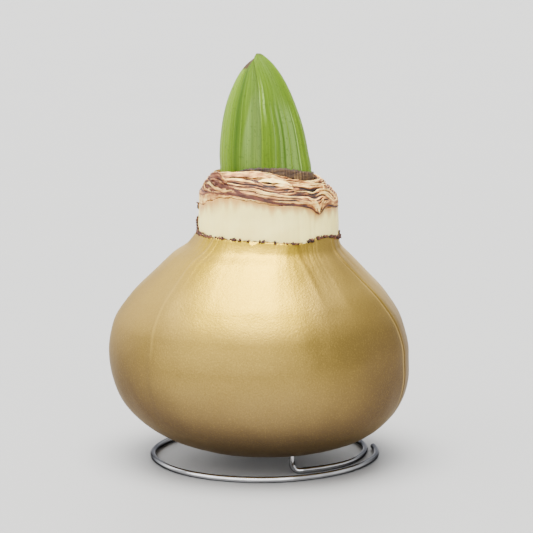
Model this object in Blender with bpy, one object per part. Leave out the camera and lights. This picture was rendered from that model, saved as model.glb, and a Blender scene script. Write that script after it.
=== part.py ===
"""A waxed amaryllis bulb standing on a bent wire ring, in metres with +Z up.

The origin is on the table, under the middle of the bulb's body. +X is to the right and +Y is to the back.
The lengths below are in millimetres and the angles in degrees. An angle round the bulb is 0 at the front (-Y),
90 at the right (+X) and -90 at the left.
"""

import math

import bmesh
import bpy
from mathutils import Vector

MM = 0.001
GAP = 0.3

# The body under its wax: a superellipse below the widest height, and smooth stations above it
BODY_RADIUS = 45.0
WIDEST_Z = 33.5
BODY_BOTTOM_Z = 3.0
BELLY_POWER = 2.54
SHOULDER = ((33.5, 45.0), (42.0, 43.3), (50.0, 38.4), (57.0, 31.8), (62.0, 26.8), (65.5, 22.9), (69.5, 21.7))
CENTRE_SHIFT = (
    (0.0, 3.0), (8.0, 2.4), (20.0, 1.0), (33.5, 0.0), (50.0, 0.2), (62.0, 0.7), (66.0, 1.9), (69.5, 2.6),
)
BODY_DEPTH_RATIO = 0.97
BODY_TURNS = 60

# The coat of wax
WAX_WALL = 1.5
WAX_LIP_WALL = 0.6
WAX_THINS_FROM_Z = 58.0
WAX_LIP_Z = (
    (-180, 68.6), (-135, 68.0), (-90, 68.4), (-45, 68.9), (0, 68.6), (24, 67.9), (48, 69.1), (90, 67.3),
    (135, 68.2), (180, 68.6),
)
LIP_MEAN_Z = 68.5

# Relief in the wax: the edge of an outer scale under it, a fainter one, and a soft valley
SCALE_EDGE = (66.0, 72.0)
SCALE_EDGE_HEIGHT = 0.55
FAINT_EDGE = (-41.0, -45.0)
FAINT_EDGE_HEIGHT = 0.2
VALLEY = (25.0, 28.0)
VALLEY_DEPTH = 0.3
VALLEY_HALF_WIDTH = 7.0

# The bare neck, the ledge under the dry cap and the pocket that the shoot stands in
NECK_CENTRE_X = 3.0
NECK_RADIUS = ((66.0, 20.95), (70.0, 20.95), (76.5, 20.7), (90.0, 20.7))
LEDGE_DEPTH = 1.1
CAP_LOW_Z = (
    (-180, 78.6), (-140, 79.4), (-100, 78.2), (-75, 77.7), (-60, 79.0), (-37, 81.0), (-15, 80.5), (5, 79.3),
    (26, 78.8), (36, 77.9), (44, 76.4), (54, 77.6), (72, 77.2), (100, 78.0), (140, 77.0), (180, 78.6),
)
POCKET_FLOOR_Z = 74.0
BARE_NECK_MIDDLE_Z = 72.0

# The shoot's outline from the front, as height, middle X and half width
SHOOT_FOOT_Z = 74.3
SHOOT_WIDEST_Z = 87.3
SHOOT_MIDDLE = ((74.3, 2.3), (87.3, 2.2), (92.6, 1.65), (99.8, 1.2), (106.9, 0.7), (112.2, 0.5), (121.8, -0.1))
SHOOT_HALF_WIDTH = (
    (74.3, 11.9), (80.0, 13.0), (87.3, 13.43), (92.6, 13.05), (99.8, 12.0), (106.9, 10.1), (112.2, 8.0),
    (115.7, 6.25), (119.2, 3.8), (121.0, 1.85), (121.8, 0.25),
)
SHOOT_TIP_Z = 121.8
SHOOT_DEPTH_RATIO = 0.72
LEFT_BRACT_TIP_Z = 120.6
SEAM_X = ((74.0, 1.8), (88.0, 1.4), (104.0, 0.2), (115.0, -1.0), (119.5, -1.1), (122.0, -0.2))
SEAM_STEP = 0.45
SEAM_STEP_REACH = 35.0
BRACT_ARC_STEPS = 20
BRACT_FLAT_STEPS = 4
BRACT_LEVELS = 24

# The shoot's dry inner scale
SHEATH_WALL = 0.7
POCKET_OUT = SHEATH_WALL + 2 * GAP
SHEATH_RIBS = 36
SHEATH_RIB = 0.12
SHEATH_TOP_Z = (
    (-180, 87.6), (-130, 86.4), (-90, 85.6), (-55, 86.6), (-35, 88.4), (-10, 89.4), (15, 89.3), (35, 88.7),
    (60, 87.6), (90, 86.6), (130, 87.4), (180, 87.6),
)

# The dry cap
CAP_WALL = 0.8
CAP_RIM_RADIUS = 20.5
CAP_SKIRT = (
    (-180, 2.0), (-90, 3.2), (-60, 2.6), (-37, 1.4), (26, 1.4), (44, 2.6), (72, 1.6), (110, 1.6), (180, 2.0),
)
CAP_TOP_Z = (
    (-180, 86.8), (-120, 86.6), (-90, 86.7), (-50, 87.4), (-15, 88.1), (8, 88.5), (28, 87.5), (55, 86.4),
    (90, 85.5), (135, 86.2), (180, 86.8),
)
CAP_TURNS = 80
CAP_LAYERS = 7
CAP_LAYERED_SHARE = 0.94
CAP_LAYER_PROFILE = ((0.0, 0.0), (0.25, 1.0), (0.62, 0.85))
CAP_LAYER_HEIGHT = 1.25
CAP_GROOVE = 0.55
CAP_INNER_Z = 82.8

# The wire: stations of angle from +X and distance from the ring's centre, from the cut end round to the prong
WIRE_RADIUS = 0.9
WIRE_SIDES = 12
WIRE_STEPS = 76
RING_CENTRE = (1.6, 2.75)
WIRE_ROUTE = (
    (12, 34.3), (-5, 34.1), (-28, 33.4), (-55, 33.2), (-90, 33.9), (-125, 34.2), (-155, 33.8), (-180, 33.6),
    (-205, 33.1), (-235, 33.2), (-270, 33.4), (-310, 33.2), (-335, 32.5), (-350, 31.4), (-365, 30.1),
    (-391, 28.2), (-408, 26.6), (-424, 25.7),
)
PRONG_FOOT = (9.9, -20.7)
PRONG_BEND = 2.2
PRONG_TOP_Z = 34.0


def angled(degrees):
    """A turn round the bulb as sine and cosine, from the front towards the right."""
    turn = math.radians(degrees)
    return math.sin(turn), math.cos(turn)


def smooth(stations, x, level_ends=True):
    """A monotone cubic through the stations, held beyond the first and the last."""
    if x <= stations[0][0]:
        return stations[0][1]
    if x >= stations[-1][0]:
        return stations[-1][1]
    steps = [(b[1] - a[1]) / (b[0] - a[0]) for a, b in zip(stations, stations[1:])]
    i = next(k for k in range(len(steps)) if x <= stations[k + 1][0])

    def slope(k):
        if k in (0, len(steps)):
            return 0.0 if level_ends else steps[min(k, len(steps) - 1)]
        if steps[k - 1] * steps[k] <= 0:
            return 0.0
        return 2 * steps[k - 1] * steps[k] / (steps[k - 1] + steps[k])

    x0, y0 = stations[i]
    x1, y1 = stations[i + 1]
    width = x1 - x0
    t = (x - x0) / width
    near = (1 + 2 * t) * (1 - t) ** 2 * y0 + t * (1 - t) ** 2 * width * slope(i)
    far = t * t * (3 - 2 * t) * y1 - t * t * (1 - t) * width * slope(i + 1)
    return near + far


def ramp(x):
    """0 below 0, 1 above 1, smooth between."""
    x = min(max(x, 0.0), 1.0)
    return x * x * (3 - 2 * x)


def material(name, colour, roughness, metallic=0.0):
    made = bpy.data.materials.new(name)
    made.use_nodes = True
    shader = made.node_tree.nodes["Principled BSDF"]
    shader.inputs["Base Color"].default_value = (*colour, 1.0)
    shader.inputs["Roughness"].default_value = roughness
    shader.inputs["Metallic"].default_value = metallic
    return made


def solid(name, made_of, rows, closed=False):
    """One closed mesh from rows of points that run round it. A row of one point is a pole.

    A closed solid joins its last row to its first."""
    mesh = bmesh.new()
    made = [[mesh.verts.new(Vector(point) * MM) for point in row] for row in rows]
    pairs = list(zip(made, made[1:]))
    if closed:
        pairs.append((made[-1], made[0]))
    for low, high in pairs:
        count = max(len(low), len(high))
        for i in range(count):
            j = (i + 1) % count
            if len(low) == 1:
                mesh.faces.new((low[0], high[j], high[i]))
            elif len(high) == 1:
                mesh.faces.new((low[i], low[j], high[0]))
            else:
                mesh.faces.new((low[i], low[j], high[j], high[i]))
    bmesh.ops.recalc_face_normals(mesh, faces=mesh.faces)
    return finished(name, made_of, mesh)


def finished(name, made_of, mesh):
    data = bpy.data.meshes.new(name)
    mesh.to_mesh(data)
    mesh.free()
    data.materials.append(made_of)
    data.shade_smooth()
    data.set_sharp_from_angle(angle=math.radians(40))
    piece = bpy.data.objects.new(name, data)
    bpy.context.scene.collection.objects.link(piece)
    return piece


def turns(count):
    return [-180 + 360 * i / count for i in range(count)]


# The body's outline, as distance from its axis and height

def belly(share):
    """A point of the lower outline, from the pole at 0 to the widest height at 1."""
    angle = math.pi / 2 * (1 - share)
    power = 2 / BELLY_POWER
    drop = (WIDEST_Z - BODY_BOTTOM_Z) * math.sin(angle) ** power
    return BODY_RADIUS * max(math.cos(angle), 0.0) ** power if share > 0 else 0.0, WIDEST_Z - drop


def shoulder(z):
    return smooth(SHOULDER, z), z


def inset(outline, at, depth, step=1e-3):
    """The outline's point moved in along its normal."""
    r0, z0 = outline(at - step)
    r1, z1 = outline(at + step)
    along = math.hypot(r1 - r0, z1 - z0)
    r, z = outline(at)
    return r - depth * (z1 - z0) / along, z + depth * (r1 - r0) / along


def between(pair, z):
    """An edge's angle: it leans from its first value at the neck to its second at the widest height."""
    return pair[1] + (pair[0] - pair[1]) * ramp((z - WIDEST_Z) / (LIP_MEAN_Z - WIDEST_Z))


def scale_edge(turn, at, height, rise, fall):
    """A scale's edge under the wax at an angle: it rises over some degrees and falls away over others."""
    past = turn - at
    if abs(past) > 40:
        return 0.0
    return height * (ramp((past + rise + 2) / rise) - ramp((past + 1) / fall))


def relief(turn, z):
    """How far the wax stands out over the scales under it."""
    raised = scale_edge(turn, between(SCALE_EDGE, z), SCALE_EDGE_HEIGHT, 28, 4)
    raised += scale_edge(turn, between(FAINT_EDGE, z), FAINT_EDGE_HEIGHT, 4, 25)
    from_valley = (turn - between(VALLEY, z)) / VALLEY_HALF_WIDTH
    raised -= VALLEY_DEPTH * math.exp(-(from_valley ** 2)) * ramp((z - 38.0) / 18.0)
    return raised * ramp((z - 12.0) / 18.0)


def on_body(turn, r, z):
    sine, cosine = angled(turn)
    return smooth(CENTRE_SHIFT, z) + r * sine, -r * cosine * BODY_DEPTH_RATIO, z


def on_neck(turn, inwards, z):
    sine, cosine = angled(turn)
    r = smooth(NECK_RADIUS, z) - inwards
    return NECK_CENTRE_X + r * sine, -r * cosine * BODY_DEPTH_RATIO, z


def wax_wall(z):
    """The wax's thickness, thinner towards its lip."""
    thinned = ramp((z - WAX_THINS_FROM_Z) / (LIP_MEAN_Z - WAX_THINS_FROM_Z - 2))
    return WAX_WALL + (WAX_LIP_WALL - WAX_WALL) * thinned


def under_wax(z):
    return wax_wall(z) + GAP


def lifted(turn, z):
    """A height of the upper body, drawn up or down to follow the wax's uneven lip."""
    return z + (smooth(WAX_LIP_Z, turn) - LIP_MEAN_Z) * ramp((z - 61.0) / 7.5)


def body_rows(around, belly_rows, shoulder_rows, depth=None):
    """Rows of points from the pole to the wax's lip, on the wax's outside or at a depth under its outline."""
    belly_depth = depth(WIDEST_Z) if depth else 0.0
    rows = [[(CENTRE_SHIFT[0][1], 0.0, BODY_BOTTOM_Z + belly_depth)]]
    for i in range(1, belly_rows):
        r, z = inset(belly, i / belly_rows, belly_depth)
        rows.append([on_body(turn, r + (0.0 if depth else relief(turn, z)), z) for turn in around])
    for i in range(shoulder_rows):
        row = []
        for turn in around:
            level = lifted(turn, WIDEST_Z + (LIP_MEAN_Z - WIDEST_Z) * i / shoulder_rows)
            r, z = inset(shoulder, level, depth(level) if depth else 0.0)
            row.append(on_body(turn, r + (0.0 if depth else relief(turn, z)), z))
        rows.append(row)
    lip = []
    for turn in around:
        z = lifted(turn, LIP_MEAN_Z)
        lip.append(on_body(turn, smooth(SHOULDER, z) - (depth(z) if depth else -relief(turn, z)), z))
    return rows + [lip]


def prong_hole(piece):
    """Cuts the plain hole that the wire's prong stands in."""
    top_z = PRONG_TOP_Z + 2 * GAP
    radius = (WIRE_RADIUS + GAP) * MM
    mesh = bmesh.new()
    bmesh.ops.create_cone(mesh, cap_ends=True, segments=16, radius1=radius, radius2=radius, depth=top_z * MM)
    bmesh.ops.translate(mesh, verts=mesh.verts, vec=Vector((*PRONG_FOOT, top_z / 2)) * MM)
    data = bpy.data.meshes.new(piece.name + "_cutter")
    mesh.to_mesh(data)
    mesh.free()
    cutter = bpy.data.objects.new(data.name, data)
    bpy.context.scene.collection.objects.link(cutter)
    cutter.hide_render = True
    cutter.display_type = "WIRE"
    cut = piece.modifiers.new("prong_hole", "BOOLEAN")
    cut.operation = "DIFFERENCE"
    cut.solver = "EXACT"
    cut.object = cutter


def wax_coat():
    around = turns(BODY_TURNS)
    outer = body_rows(around, 13, 14)
    inner = body_rows(around, 9, 9, wax_wall)
    gold = material("gold_wax", (0.51, 0.36, 0.13), 0.33, 0.75)
    return solid("wax_coat", gold, outer + inner[::-1])


def ledge_z(turn):
    """The height where the bare neck steps in under the dry cap's lower edge."""
    return smooth(CAP_LOW_Z, turn) - GAP


def bulb():
    """The bulb's own body, its bare neck, the ledge under the dry cap and the pocket for the shoot."""
    around = turns(BODY_TURNS)
    rows = body_rows(around, 9, 9, under_wax)
    rows.append([on_neck(turn, 0.0, BARE_NECK_MIDDLE_Z) for turn in around])
    rows.append([on_neck(turn, 0.0, ledge_z(turn) - GAP) for turn in around])
    rows.append([on_neck(turn, GAP, ledge_z(turn)) for turn in around])
    rows.append([on_neck(turn, LEDGE_DEPTH, ledge_z(turn)) for turn in around])
    rows.append([cap_underside(turn, 0.0, -GAP) for turn in around])
    rows.append([cap_underside(turn, 0.9, -GAP) for turn in around])
    for z in (POCKET_FLOOR_Z + 3, POCKET_FLOOR_Z):
        rows.append([around_shoot(turn, POCKET_OUT, z) for turn in around])
    rows.append([(shoot_middle(POCKET_FLOOR_Z), 0.0, POCKET_FLOOR_Z)])
    cream = material("bulb_flesh", (0.86, 0.79, 0.60), 0.5)
    return solid("bulb", cream, rows)


# The shoot

def shoot_middle(z):
    return smooth(SHOOT_MIDDLE, z)


def shoot_half_width(z):
    """The half width is smooth in the square root of the depth below the tip, which rounds the tip."""
    stations = tuple((math.sqrt(SHOOT_TIP_Z - height), half) for height, half in reversed(SHOOT_HALF_WIDTH))
    return smooth(stations, math.sqrt(max(SHOOT_TIP_Z - z, 0.0)), level_ends=False)


def around_shoot(turn, out, z):
    """A point out from the shoot's widest section, for the pieces that wrap its base."""
    sine, cosine = angled(turn)
    half = shoot_half_width(SHOOT_WIDEST_Z)
    x = shoot_middle(SHOOT_WIDEST_Z) + (half + out) * sine
    return x, -(half * SHOOT_DEPTH_RATIO + out) * cosine, z


def bract_row(z, side, tip_z, lift):
    """One level of a bract: an arc from the seam's front round its side to the back, then the flat inner face."""
    # The lower bract narrows over its last few millimetres
    lowered = z + (SHOOT_TIP_Z - tip_z) * ramp((z - 110) / (tip_z - 110))
    half = shoot_half_width(lowered)
    middle = shoot_middle(z)
    lean = min(max((smooth(SEAM_X, z) - middle) / half, -0.9), 0.9)
    start = math.degrees(math.asin(lean))
    end = side * 180 - start
    row = []
    for i in range(BRACT_ARC_STEPS + 1):
        turn = start + (end - start) * i / BRACT_ARC_STEPS
        near_seam = ramp(1 - abs(turn - start) / SEAM_STEP_REACH)
        stand = lift * near_seam * min(1.0, half / 6.0) * ramp((z - 89.5) / 5)
        sine, cosine = angled(turn)
        row.append((middle + half * sine + side * GAP / 2, -(half * SHOOT_DEPTH_RATIO + stand) * cosine, z))
    first, last = row[0], row[-1]
    for i in range(1, BRACT_FLAT_STEPS):
        share = i / BRACT_FLAT_STEPS
        row.append(tuple(last[k] + (first[k] - last[k]) * share for k in range(3)))
    return row if side > 0 else row[::-1]


def bract(name, green, side, tip_z, lift):
    """One bract: its side of the shoot, closed by a flat face along the seam. side is 1 for right, -1 for left."""
    rows = []
    for level in range(BRACT_LEVELS + 1):
        share = level / BRACT_LEVELS
        z = SHOOT_FOOT_Z + (tip_z - SHOOT_FOOT_Z) * (1 - (1 - share) ** 1.6)
        rows.append(bract_row(z, side, tip_z, lift))
    for end in (0, -1):
        row = rows[end]
        middle = [tuple(sum(point[k] for point in row) / len(row) for k in range(3))]
        rows.insert(0 if end == 0 else len(rows), middle)
    return solid(name, green, rows)


def shoot_sheath():
    """A thin ribbed collar round the shoot's base, higher at the front."""
    around = turns(2 * SHEATH_RIBS)
    foot_z = POCKET_FLOOR_Z + GAP
    outside = GAP + SHEATH_WALL - SHEATH_RIB
    rows = []
    up_outside = ((0.0, outside), (0.5, outside), (0.8, outside), (1.0, outside))
    for share, out in ((0.0, GAP), *up_outside, (1.0, GAP), (0.5, GAP)):
        row = []
        for turn in around:
            rib = SHEATH_RIB * math.cos(math.radians(turn) * SHEATH_RIBS) if share and out > GAP else 0.0
            row.append(around_shoot(turn, out + rib, foot_z + (smooth(SHEATH_TOP_Z, turn) - foot_z) * share))
        rows.append(row)
    brown = material("dry_sheath", (0.24, 0.11, 0.06), 0.75)
    return solid("shoot_sheath", brown, rows, closed=True)


# The dry cap, from its outer rim at share 0 to the shoot at share 1

def cap_ring(turn, share, z):
    sine, cosine = angled(turn)
    inner = Vector(around_shoot(turn, POCKET_OUT + GAP, 0))
    outer = Vector((NECK_CENTRE_X + CAP_RIM_RADIUS * sine, -CAP_RIM_RADIUS * BODY_DEPTH_RATIO * cosine, 0))
    point = outer.lerp(inner, share)
    return point.x, point.y, z


def rim_z(turn):
    return smooth(CAP_LOW_Z, turn) + smooth(CAP_SKIRT, turn)


def cap_height(turn, share):
    rise = smooth(CAP_TOP_Z, turn) - rim_z(turn)
    return rim_z(turn) + rise * (1 - (1 - share) ** 1.5)


def cap_underside(turn, share, lift):
    """The surface between the cap and the bulb's top, a little inside the cap's rim."""
    start = (CAP_WALL + 0.1 - lift) / 6.0
    rise = CAP_INNER_Z - rim_z(turn)
    return cap_ring(turn, start + (1 - start) * share, rim_z(turn) - 0.9 + rise * share + lift)


def wave(turn, layer, turns_round, phase):
    return math.sin(math.radians(turn) * turns_round + phase + 2.4 * layer)


def layer_row(around, layer, share_in, raised):
    """A line along one layer of the cap. It wanders in and out, and its crest stands up unevenly."""
    step = CAP_LAYERED_SHARE / CAP_LAYERS
    row = []
    for turn in around:
        wander = 0.16 * wave(turn, layer, 3, 0.7) + 0.12 * wave(turn, layer, 7, 1.9) if layer else 0.0
        share = step * (layer + share_in + wander) + 0.01
        uneven = 0.62 + 0.3 * wave(turn, layer, 5, 0.2) + 0.2 * wave(turn, layer, 11, 2.2)
        z = cap_height(turn, share) + raised * CAP_LAYER_HEIGHT * uneven - CAP_GROOVE
        row.append(cap_ring(turn, share, max(z, smooth(CAP_LOW_Z, turn) + CAP_WALL)))
    return row


def dry_scales():
    """The cut-back tops of the outer scales: a skirt on the neck and layers that step up to the shoot."""
    around = turns(CAP_TURNS)
    rows = [[cap_underside(turn, share, 0.0) for turn in around] for share in (0.92, 0.0)]
    rows.append([on_neck(turn, LEDGE_DEPTH - GAP, smooth(CAP_LOW_Z, turn) + 0.05) for turn in around])
    rows.append([on_neck(turn, -0.1, smooth(CAP_LOW_Z, turn)) for turn in around])
    rows.append([on_neck(turn, 0.05, smooth(CAP_LOW_Z, turn) + smooth(CAP_SKIRT, turn) / 2) for turn in around])
    for layer in range(CAP_LAYERS):
        for share_in, raised in CAP_LAYER_PROFILE:
            rows.append(layer_row(around, layer, share_in, raised))
    rows.append([cap_ring(turn, 1.0, cap_height(turn, 1.0) - 0.2) for turn in around])
    tan = material("dry_scales", (0.52, 0.33, 0.20), 0.8)
    return solid("dry_scales", tan, rows, closed=True)


def wire_path():
    """The wire's centre line: the ring lying flat, the run inwards, the bend and the upright prong."""
    height = WIRE_RADIUS * math.cos(math.pi / WIRE_SIDES)
    route = tuple((-angle, distance) for angle, distance in WIRE_ROUTE)
    first, last = route[0][0], route[-1][0]
    points = []
    for i in range(WIRE_STEPS + 1):
        swept = first + (last - first) * i / WIRE_STEPS
        distance = smooth(route, swept)
        turn = math.radians(-swept)
        x = RING_CENTRE[0] + distance * math.cos(turn)
        y = RING_CENTRE[1] + distance * math.sin(turn)
        points.append(Vector((x, y, height)))
    foot = Vector((*PRONG_FOOT, height))
    inward = (foot - points[-1]).normalized()
    bend_start = foot - inward * PRONG_BEND
    for i in range(7):
        angle = math.pi / 2 * i / 6
        rise = Vector((0, 0, PRONG_BEND * (1 - math.cos(angle))))
        points.append(bend_start + inward * PRONG_BEND * math.sin(angle) + rise)
    points.append(Vector((*PRONG_FOOT, PRONG_TOP_Z)))
    return points


def wire_stand():
    points = wire_path()
    rows = []
    sideways = Vector((1, 0, 0))
    for i, point in enumerate(points):
        along = (points[min(i + 1, len(points) - 1)] - points[max(i - 1, 0)]).normalized()
        flat = Vector((along.x, along.y, 0))
        if flat.length > 0.2:
            sideways = flat.normalized().cross(Vector((0, 0, 1)))
        up = sideways.cross(along)
        row = []
        for k in range(WIRE_SIDES):
            angle = 2 * math.pi * (k + 0.5) / WIRE_SIDES
            row.append(tuple(point + (sideways * math.cos(angle) + up * math.sin(angle)) * WIRE_RADIUS))
        rows.append(row)
    rows.insert(0, [tuple(points[0])])
    rows.append([tuple(points[-1])])
    steel = material("steel_wire", (0.60, 0.61, 0.63), 0.22, 1.0)
    return solid("wire_stand", steel, rows)


def main():
    for old in list(bpy.data.objects):
        bpy.data.objects.remove(old)
    wire_stand()
    prong_hole(wax_coat())
    prong_hole(bulb())
    dry_scales()
    shoot_sheath()
    bract("bract_right", material("bract_right", (0.24, 0.40, 0.05), 0.38), 1, SHOOT_TIP_Z, SEAM_STEP)
    bract("bract_left", material("bract_left", (0.33, 0.47, 0.10), 0.38), -1, LEFT_BRACT_TIP_Z, 0.0)


main()
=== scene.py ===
"""Dresses the waxed amaryllis bulb: gold wax, bare neck, dry cap, green shoot and bright wire.

Lengths in the tables and functions are in millimetres and turn to metres where a mesh is made. A turn is an
angle round the bulb in degrees, 0 at the front (-Y), 90 at the right (+X) and -90 at the left.
"""

import math

import bpy
import numpy as np
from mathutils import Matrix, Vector, noise


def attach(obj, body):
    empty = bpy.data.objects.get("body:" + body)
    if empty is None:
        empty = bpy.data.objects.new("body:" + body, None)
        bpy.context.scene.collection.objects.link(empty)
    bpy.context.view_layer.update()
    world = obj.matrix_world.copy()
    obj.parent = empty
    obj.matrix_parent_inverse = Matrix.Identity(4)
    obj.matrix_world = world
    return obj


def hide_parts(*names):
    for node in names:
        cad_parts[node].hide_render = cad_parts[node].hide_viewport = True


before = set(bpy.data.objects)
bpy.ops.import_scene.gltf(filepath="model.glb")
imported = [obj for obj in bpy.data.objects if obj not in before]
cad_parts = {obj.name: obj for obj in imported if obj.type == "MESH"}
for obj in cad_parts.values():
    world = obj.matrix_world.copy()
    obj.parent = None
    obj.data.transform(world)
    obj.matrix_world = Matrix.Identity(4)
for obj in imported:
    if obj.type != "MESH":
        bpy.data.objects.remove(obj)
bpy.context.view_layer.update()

bl_info = {
    "name": "Waxed Amaryllis Bulb",
    "version": (1, 0, 0),
    "blender": (4, 5, 0),
    "location": "View3D > Sidebar > Bulb",
    "description": "Builds the finished skins of a waxed amaryllis bulb round its solids",
    "category": "Object",
}

MM = 0.001
TO_MM = 1000
BODY = "root"

# The body under its wax
BODY_RADIUS = 45.0
WIDEST_Z = 33.5
BODY_BOTTOM_Z = 3.0
BELLY_POWER = 2.54
SHOULDER = ((33.5, 45.0), (42.0, 43.3), (50.0, 38.4), (57.0, 31.8), (62.0, 26.8), (65.5, 22.9), (69.5, 21.7))
CENTRE_SHIFT = (
    (0.0, 3.0), (8.0, 2.4), (20.0, 1.0), (33.5, 0.0), (50.0, 0.2), (62.0, 0.7), (66.0, 1.9), (69.5, 2.6),
)
DEPTH_RATIO = 0.97
WAX_LIP_Z = (
    (-180, 68.6), (-135, 68.0), (-90, 68.4), (-45, 68.9), (0, 68.6), (24, 67.9), (48, 69.1), (90, 67.3),
    (135, 68.2), (180, 68.6),
)
LIP_MEAN_Z = 68.5
# Lines under the wax: height, then turn
SCALE_EDGE = (
    (10.0, 72.0), (23.1, 71.2), (28.3, 71.0), (33.6, 69.8), (38.3, 69.0), (42.9, 67.8), (47.3, 67.1),
    (51.3, 66.1), (54.6, 65.2), (58.1, 63.4), (61.6, 61.2), (66.0, 60.0),
)
FAINT_EDGE = (
    (30.0, -43.0), (37.8, -43.6), (45.7, -45.2), (50.2, -46.3), (55.0, -47.2), (62.0, -48.4), (67.0, -46.7),
)
VALLEY_LEFT = ((48.0, 30.0), (50.8, 29.8), (56.0, 29.8), (60.4, 28.8), (64.7, 26.0), (68.0, 24.0))
VALLEY_RIGHT = ((48.0, 30.2), (50.8, 30.6), (53.3, 32.0), (58.2, 35.8), (63.7, 41.1), (68.0, 44.0))
BACK_EDGE = 158.0

# The bare neck and the dry cap's lower edge
NECK_X = 3.0
NECK_RADIUS = ((66.0, 20.95), (70.0, 20.95), (76.5, 20.7), (90.0, 20.7))
CAP_LOW_Z = (
    (-180, 78.6), (-140, 79.4), (-100, 78.2), (-75, 77.7), (-60, 79.0), (-37, 81.0), (-15, 80.5), (5, 79.3),
    (26, 78.8), (36, 77.9), (44, 76.4), (54, 77.6), (72, 77.2), (100, 78.0), (140, 77.0), (180, 78.6),
)
CAP_SKIRT = (
    (-180, 2.0), (-90, 3.2), (-60, 2.6), (-37, 1.4), (26, 1.4), (44, 2.6), (72, 1.6), (110, 1.6), (180, 2.0),
)
CAP_TOP_Z = (
    (-180, 86.8), (-120, 86.6), (-90, 86.7), (-50, 87.3), (-25, 87.7), (-8, 88.0), (4, 87.6), (14, 86.7),
    (28, 85.9), (45, 85.2), (60, 84.9), (90, 85.0), (135, 86.0), (180, 86.8),
)
CAP_RIM_RADIUS = 20.5
CAP_HOLE_OUT = 1.6

# The shoot
SHOOT_FOOT_Z = 74.3
SHOOT_TIP_Z = 121.8
SHOOT_WIDEST_Z = 87.3
SHOOT_MIDDLE = (
    (74.3, 2.3), (87.3, 2.2), (92.6, 1.65), (99.8, 1.2), (106.9, 0.7), (112.2, 0.5), (121.8, -0.1),
)
SHOOT_HALF_WIDTH = (
    (74.3, 11.9), (80.0, 13.0), (87.3, 13.43), (92.6, 13.05), (99.8, 12.0), (106.9, 10.1), (112.2, 8.0),
    (115.7, 6.25), (119.2, 3.8), (121.0, 1.85), (121.8, 0.25),
)
SHOOT_DEPTH_RATIO = 0.72
LEFT_BRACT_TIP_Z = 120.6
SEAM_X = (
    (74.0, 1.8), (88.6, 1.4), (96.8, 1.45), (103.0, 1.2), (107.0, 0.85), (112.0, 0.6), (114.8, 0.15),
    (118.5, -0.5), (120.5, -0.8), (122.0, -0.2),
)
# Where the left bract's pale patch ends: height, then share of the way round from the seam
PATCH_EDGE = ((86.0, 0.20), (88.5, 0.19), (98.7, 0.165), (105.0, 0.13), (110.0, 0.10), (114.0, 0.06))
SHEATH_TOP_Z = (
    (-180, 87.6), (-130, 86.4), (-90, 85.6), (-55, 86.2), (-35, 87.9), (-10, 89.0), (15, 88.9), (35, 88.3),
    (60, 87.2), (90, 86.4), (130, 87.4), (180, 87.6),
)

# The wire
WIRE_RADIUS = 0.9
RING_CENTRE = (1.6, 2.75)
WIRE_ROUTE = (
    (12, 34.3), (-5, 34.1), (-28, 33.4), (-55, 33.2), (-90, 33.9), (-125, 34.2), (-155, 33.8), (-180, 33.6),
    (-205, 33.1), (-235, 33.2), (-270, 33.4), (-310, 33.2), (-335, 32.5), (-350, 31.4), (-365, 30.1),
    (-391, 28.2), (-408, 26.6), (-424, 25.7),
)
PRONG_FOOT = (9.9, -20.7)
PRONG_BEND = 2.2
PRONG_TOP_Z = 34.0

# The camera at the photo's viewing angle
CAMERA_AT = (0.0024, -0.647, 0.1609)
CAMERA_PITCH = 9.01
CAMERA_LENS = 148.2

# Walls, hidden parts, strips and crumbs
WAX_WALL = 1.5
FLESH_UNDER = 1.8
FLESH_UNDER_HIGH = 1.4
NECK_FOOT_Z = 66.0
SHEATH_FOOT_Z = 74.6
BRACT_GAP_HALF = 0.08
# Light Edge sets how much painted light lifts one edge of a strip over the other
STRIP_LOOKS = {"Thickness": 0.20, "Hollow": 0.12, "Light Edge": 0.24}
CRUMB_SIZES = (0.20, 0.68)

# How many columns or rows the finer skins have, and the seeds of the random draws
WAX_LOW_ROWS = 56
WAX_HIGH_ROWS = 96
NECK_TURNS, NECK_ROWS = 300, 56
CAP_TURNS, CAP_ROWS, SKIRT_ROWS = 460, 170, 11
SHEATH_TURNS = 432
BRACT_ARC, BRACT_LEVELS, BRACT_INNER = 180, 130, 6
WIRE_STEPS, WIRE_SIDES, BEND_STEPS = 420, 24, 14
STRIP_SEED, CRUMB_SEED, SPIN_SEED = 11, 5, 3


# Numbers

def smooth(stations, x, level_ends=True):
    """A monotone cubic through the stations, held beyond the first and the last."""
    xs, ys = np.array(stations, float).T
    widths = np.diff(xs)
    steps = np.diff(ys) / widths
    slopes = np.zeros(len(xs))
    same_way = steps[:-1] * steps[1:] > 0
    total = np.where(same_way, steps[:-1] + steps[1:], 1.0)
    slopes[1:-1] = np.where(same_way, 2 * steps[:-1] * steps[1:] / total, 0.0)
    if not level_ends:
        slopes[0], slopes[-1] = steps[0], steps[-1]
    x = np.clip(x, xs[0], xs[-1])
    i = np.clip(np.searchsorted(xs, x) - 1, 0, len(steps) - 1)
    t = (x - xs[i]) / widths[i]
    near = (1 + 2 * t) * (1 - t) ** 2 * ys[i] + t * (1 - t) ** 2 * widths[i] * slopes[i]
    return near + t * t * (3 - 2 * t) * ys[i + 1] - t * t * (1 - t) * widths[i] * slopes[i + 1]


def ramp(x):
    """0 below 0, 1 above 1, smooth between."""
    x = np.clip(x, 0.0, 1.0)
    return x * x * (3 - 2 * x)


def rise(x, start, over):
    """0 up to a start and 1 from some way beyond it. A negative way runs downwards."""
    return ramp((x - start) / over)


def between(x, start, stop, over, over_stop=None):
    """1 between two places and 0 outside them, with its own way to rise and to fall."""
    return rise(x, start, over) * rise(x, stop, -(over if over_stop is None else over_stop))


def bump(x, at, half):
    """1 at a place, falling to 0 over a half width on either side."""
    return ramp(1 - np.abs(x - at) / half)


def wrapped(turn):
    return (turn + 180.0) % 360.0 - 180.0


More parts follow.
